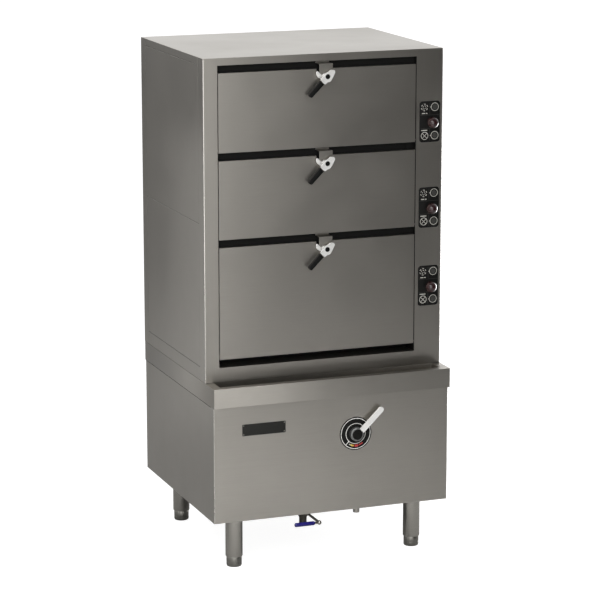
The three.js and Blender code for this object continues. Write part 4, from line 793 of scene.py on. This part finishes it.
# From the floor up: the rounded sole, the drum with its groove, and the stem, drawn smooth.
FOOT = [(0, 0), (24.4, 0), (25.6, 0.5), (26.9, 2.6), (27.4, 4.4), (27.6, 6.4), (27.6, 14),
        (27.0, 14.6), (27.0, 16.2), (27.6, 16.8), (27.6, 36.4), (27.0, FOOT_TOP),
        (STEM_RADIUS, FOOT_TOP),
        (STEM_RADIUS, FOOT_TOP + STEM_LENGTH - 2), (STEM_RADIUS - 1, FOOT_TOP + STEM_LENGTH),
        (0, FOOT_TOP + STEM_LENGTH)]

for place, body in (("front_left", "foot_fl"), ("front_right", "foot_fr"),
                    ("back_left", "foot_bl"), ("back_right", "foot_br")):
    low, high = box_mm(f"foot_{place}")
    foot = turned(FOOT, ((low[0] + high[0]) / 2, (low[1] + high[1]) / 2, low[2]), "z", 64)
    piece(f"bullet_foot_{place}", [(foot, 0)], [STEEL_TURNED], body, [f"foot_{place}"])


# Wire racks: a rim and cross bars of round wire, inside the space of the slotted plates

RIM_WIRE, CROSS_WIRE, SHELF_WIRE = 3.0, 2.0, 1.5
RACK_CORNER, CROSS_INSET, SHELF_INSET, SHELF_WIRES = 14, 30, 26, 24
CROSS_DROP, SHELF_RISE = 1, 1.2

for number in (1, 2, 3):
    low, high = box_mm(f"wire_rack_{number}")
    z = (low[2] + high[2]) / 2
    left, right = low[0] + RIM_WIRE, high[0] - RIM_WIRE
    fore, aft = low[1] + RIM_WIRE, high[1] - RIM_WIRE
    rim = rounded([(left, fore), (right, fore), (right, aft), (left, aft)], RACK_CORNER, steps=8)
    rim = np.concatenate([rim, rim[:1]])
    shells = [(swept(np.column_stack([rim, np.full(len(rim), z)]), RIM_WIRE, 12), 0)]
    for y in (low[1] + CROSS_INSET, (low[1] + high[1]) / 2, high[1] - CROSS_INSET):
        shells.append((swept([(left, y, z - CROSS_DROP), (right, y, z - CROSS_DROP)], CROSS_WIRE,
                             10), 0))
    for x in np.linspace(low[0] + SHELF_INSET, high[0] - SHELF_INSET, SHELF_WIRES):
        shells.append((swept([(x, fore, z + SHELF_RISE), (x, aft, z + SHELF_RISE)], SHELF_WIRE,
                             8), 0))
    piece(f"rack_wires_{number}", shells, [STEEL_MILL], "root", [f"wire_rack_{number}"])


# Stage: floor, world, cards, lamps and camera. Places are in metres, powers in watts.

FLOOR_REACH = 40
FLOOR_GREY = 0.35
FLOOR_LIFT = 0.88
WORLD_FRONT = 0.17
WORLD_BACK = 1.08
# Cards: left and right X, Y, bottom and top Z, and level.
CARDS = {
    "left_softbox_card": (-3.4, 0.42, -3.3, 0.22, 3.6, 1.9),
    "right_dark_card": (0.42, 5.5, -3.3, 0.0, 3.6, 0.03),
    "back_left_grey_card": (-5.0, -1.0, 4.6, 0.0, 1.6, 0.12),
    "side_glow_card": (-1.45, -1.0, 1.15, 0.15, 1.35, 0.85),
    "left_edge_card": (-5.2, -3.9, -1.6, 0.0, 3.6, 3.0),
    "right_rim_card": (1.1, 2.8, 0.7, 0.1, 1.3, 9.0),
}
# Lamps: place, target, size, power, and spread in degrees.
LAMPS = {
    "key_softbox": ((-3.2, -4.2, 4.6), (0, 0, 0.9), 3.0, 120, 180),
    "top_softbox": ((0, 1.2, 5.2), (0, 0, 0.9), 3.0, 24, 180),
    "front_floor_pool": ((-0.45, -1.6, 2.1), (-0.45, -1.6, 0), 0.8, 21, 85),
    "right_floor_pool": ((1.5, -2.7, 1.6), (1.5, -2.7, 0), 0.8, 3.5, 85),
    "back_floor_pool": ((-2.2, 3.0, 2.4), (-2.2, 3.0, 0), 0.8, 3, 90),
}
CAMERA_PLACE = (-3.2813, -8.6902, 2.9151)
CAMERA_LOOK = (0.34697, 0.91322, -0.21361)
CAMERA_LENS = 155.72


def stage_plane(name, corners, material):
    """A flat stage surface from its corners in metres."""
    mesh = bpy.data.meshes.new(name)
    mesh.from_pydata(corners, [], [list(range(len(corners)))])
    mesh.materials.append(material)
    thing = bpy.data.objects.new(name, mesh)
    bpy.context.scene.collection.objects.link(thing)
    return thing


def lamp(name, place, target, size, power, spread):
    """A square area lamp at a place in metres, turned to its target, with its spread in degrees."""
    data = bpy.data.lights.new(name, "AREA")
    data.shape = "SQUARE"
    data.size = size
    data.energy = power
    data.spread = math.radians(spread)
    thing = bpy.data.objects.new(name, data)
    thing.location = place
    thing.rotation_euler = (Vector(target) - Vector(place)).to_track_quat("-Z", "Y").to_euler()
    thing.visible_camera = False
    bpy.context.scene.collection.objects.link(thing)
    return thing


# Studio floor: pale matt vinyl. The camera sees it as white paper does under even light, and it
# keeps the object's soft shadow.
FLOOR_PALE = bpy.data.materials.new("pale_studio_vinyl")
FLOOR_PALE.use_nodes = True
tree = FLOOR_PALE.node_tree
shader = tree.nodes["Principled BSDF"]
shader.inputs["Base Color"].default_value = (FLOOR_GREY, FLOOR_GREY, FLOOR_GREY, 1)
shader.inputs["Roughness"].default_value = 0.9
shader.inputs["Emission Color"].default_value = (1, 1, 1, 1)
rays = add(tree, "ShaderNodeLightPath")
lift = add(tree, "ShaderNodeMath", {0: rays.outputs["Is Camera Ray"], 1: FLOOR_LIFT},
           operation="MULTIPLY")
tree.links.new(lift.outputs[0], shader.inputs["Emission Strength"])
stage_plane("studio_floor", [(x * FLOOR_REACH, y * FLOOR_REACH, 0)
                             for x, y in ((-1, -1), (1, -1), (1, 1), (-1, 1))], FLOOR_PALE)


def card(name, left, right, y, bottom, top, level):
    """An upright studio card that the metal reflects and the camera doesn't see: a matt sheet of
    the given brightness, bright ones lit from within like a softbox."""
    material = bpy.data.materials.new(name)
    material.use_nodes = True
    shader = material.node_tree.nodes["Principled BSDF"]
    shader.inputs["Base Color"].default_value = (0.02, 0.02, 0.02, 1)
    shader.inputs["Roughness"].default_value = 1.0
    shader.inputs["Emission Color"].default_value = (1, 1, 1, 1)
    shader.inputs["Emission Strength"].default_value = level
    corners = [(left, y, bottom), (right, y, bottom), (right, y, top), (left, y, top)]
    thing = stage_plane(name, corners, material)
    thing.visible_camera = False
    thing.visible_shadow = False
    return thing


for name, values in CARDS.items():
    card(name, *values)

# World: an even pale studio, brighter behind the object.
world = bpy.data.worlds.new("pale_studio")
world.use_nodes = True
tree = world.node_tree
background = tree.nodes["Background"]
rays = add(tree, "ShaderNodeLightPath")
direction = add(tree, "ShaderNodeTexCoord").outputs["Generated"]
depth = add(tree, "ShaderNodeSeparateXYZ", {"Vector": direction}).outputs["Y"]
level = add(tree, "ShaderNodeMapRange", {"Value": depth, "From Min": -0.6, "From Max": 0.8,
                                         "To Min": WORLD_FRONT, "To Max": WORLD_BACK},
            interpolation_type="SMOOTHSTEP")
white = add(tree, "ShaderNodeMath", {0: level.outputs["Result"], 1: rays.outputs["Is Camera Ray"]},
            operation="MAXIMUM")
background.inputs["Color"].default_value = linear("#FFFFFF")
tree.links.new(white.outputs[0], background.inputs["Strength"])
bpy.context.scene.world = world

for name, values in LAMPS.items():
    lamp(name, *values)

view = bpy.data.cameras.new("photo_camera")
view.lens = CAMERA_LENS
view.sensor_fit = "HORIZONTAL"
view.sensor_width = 36.0
view.clip_end = 200
camera = bpy.data.objects.new("photo_camera", view)
camera.location = CAMERA_PLACE
camera.rotation_euler = Vector(CAMERA_LOOK).to_track_quat("-Z", "Y").to_euler()
bpy.context.scene.collection.objects.link(camera)
bpy.context.scene.camera = camera
bpy.context.scene.view_settings.view_transform = "Standard"
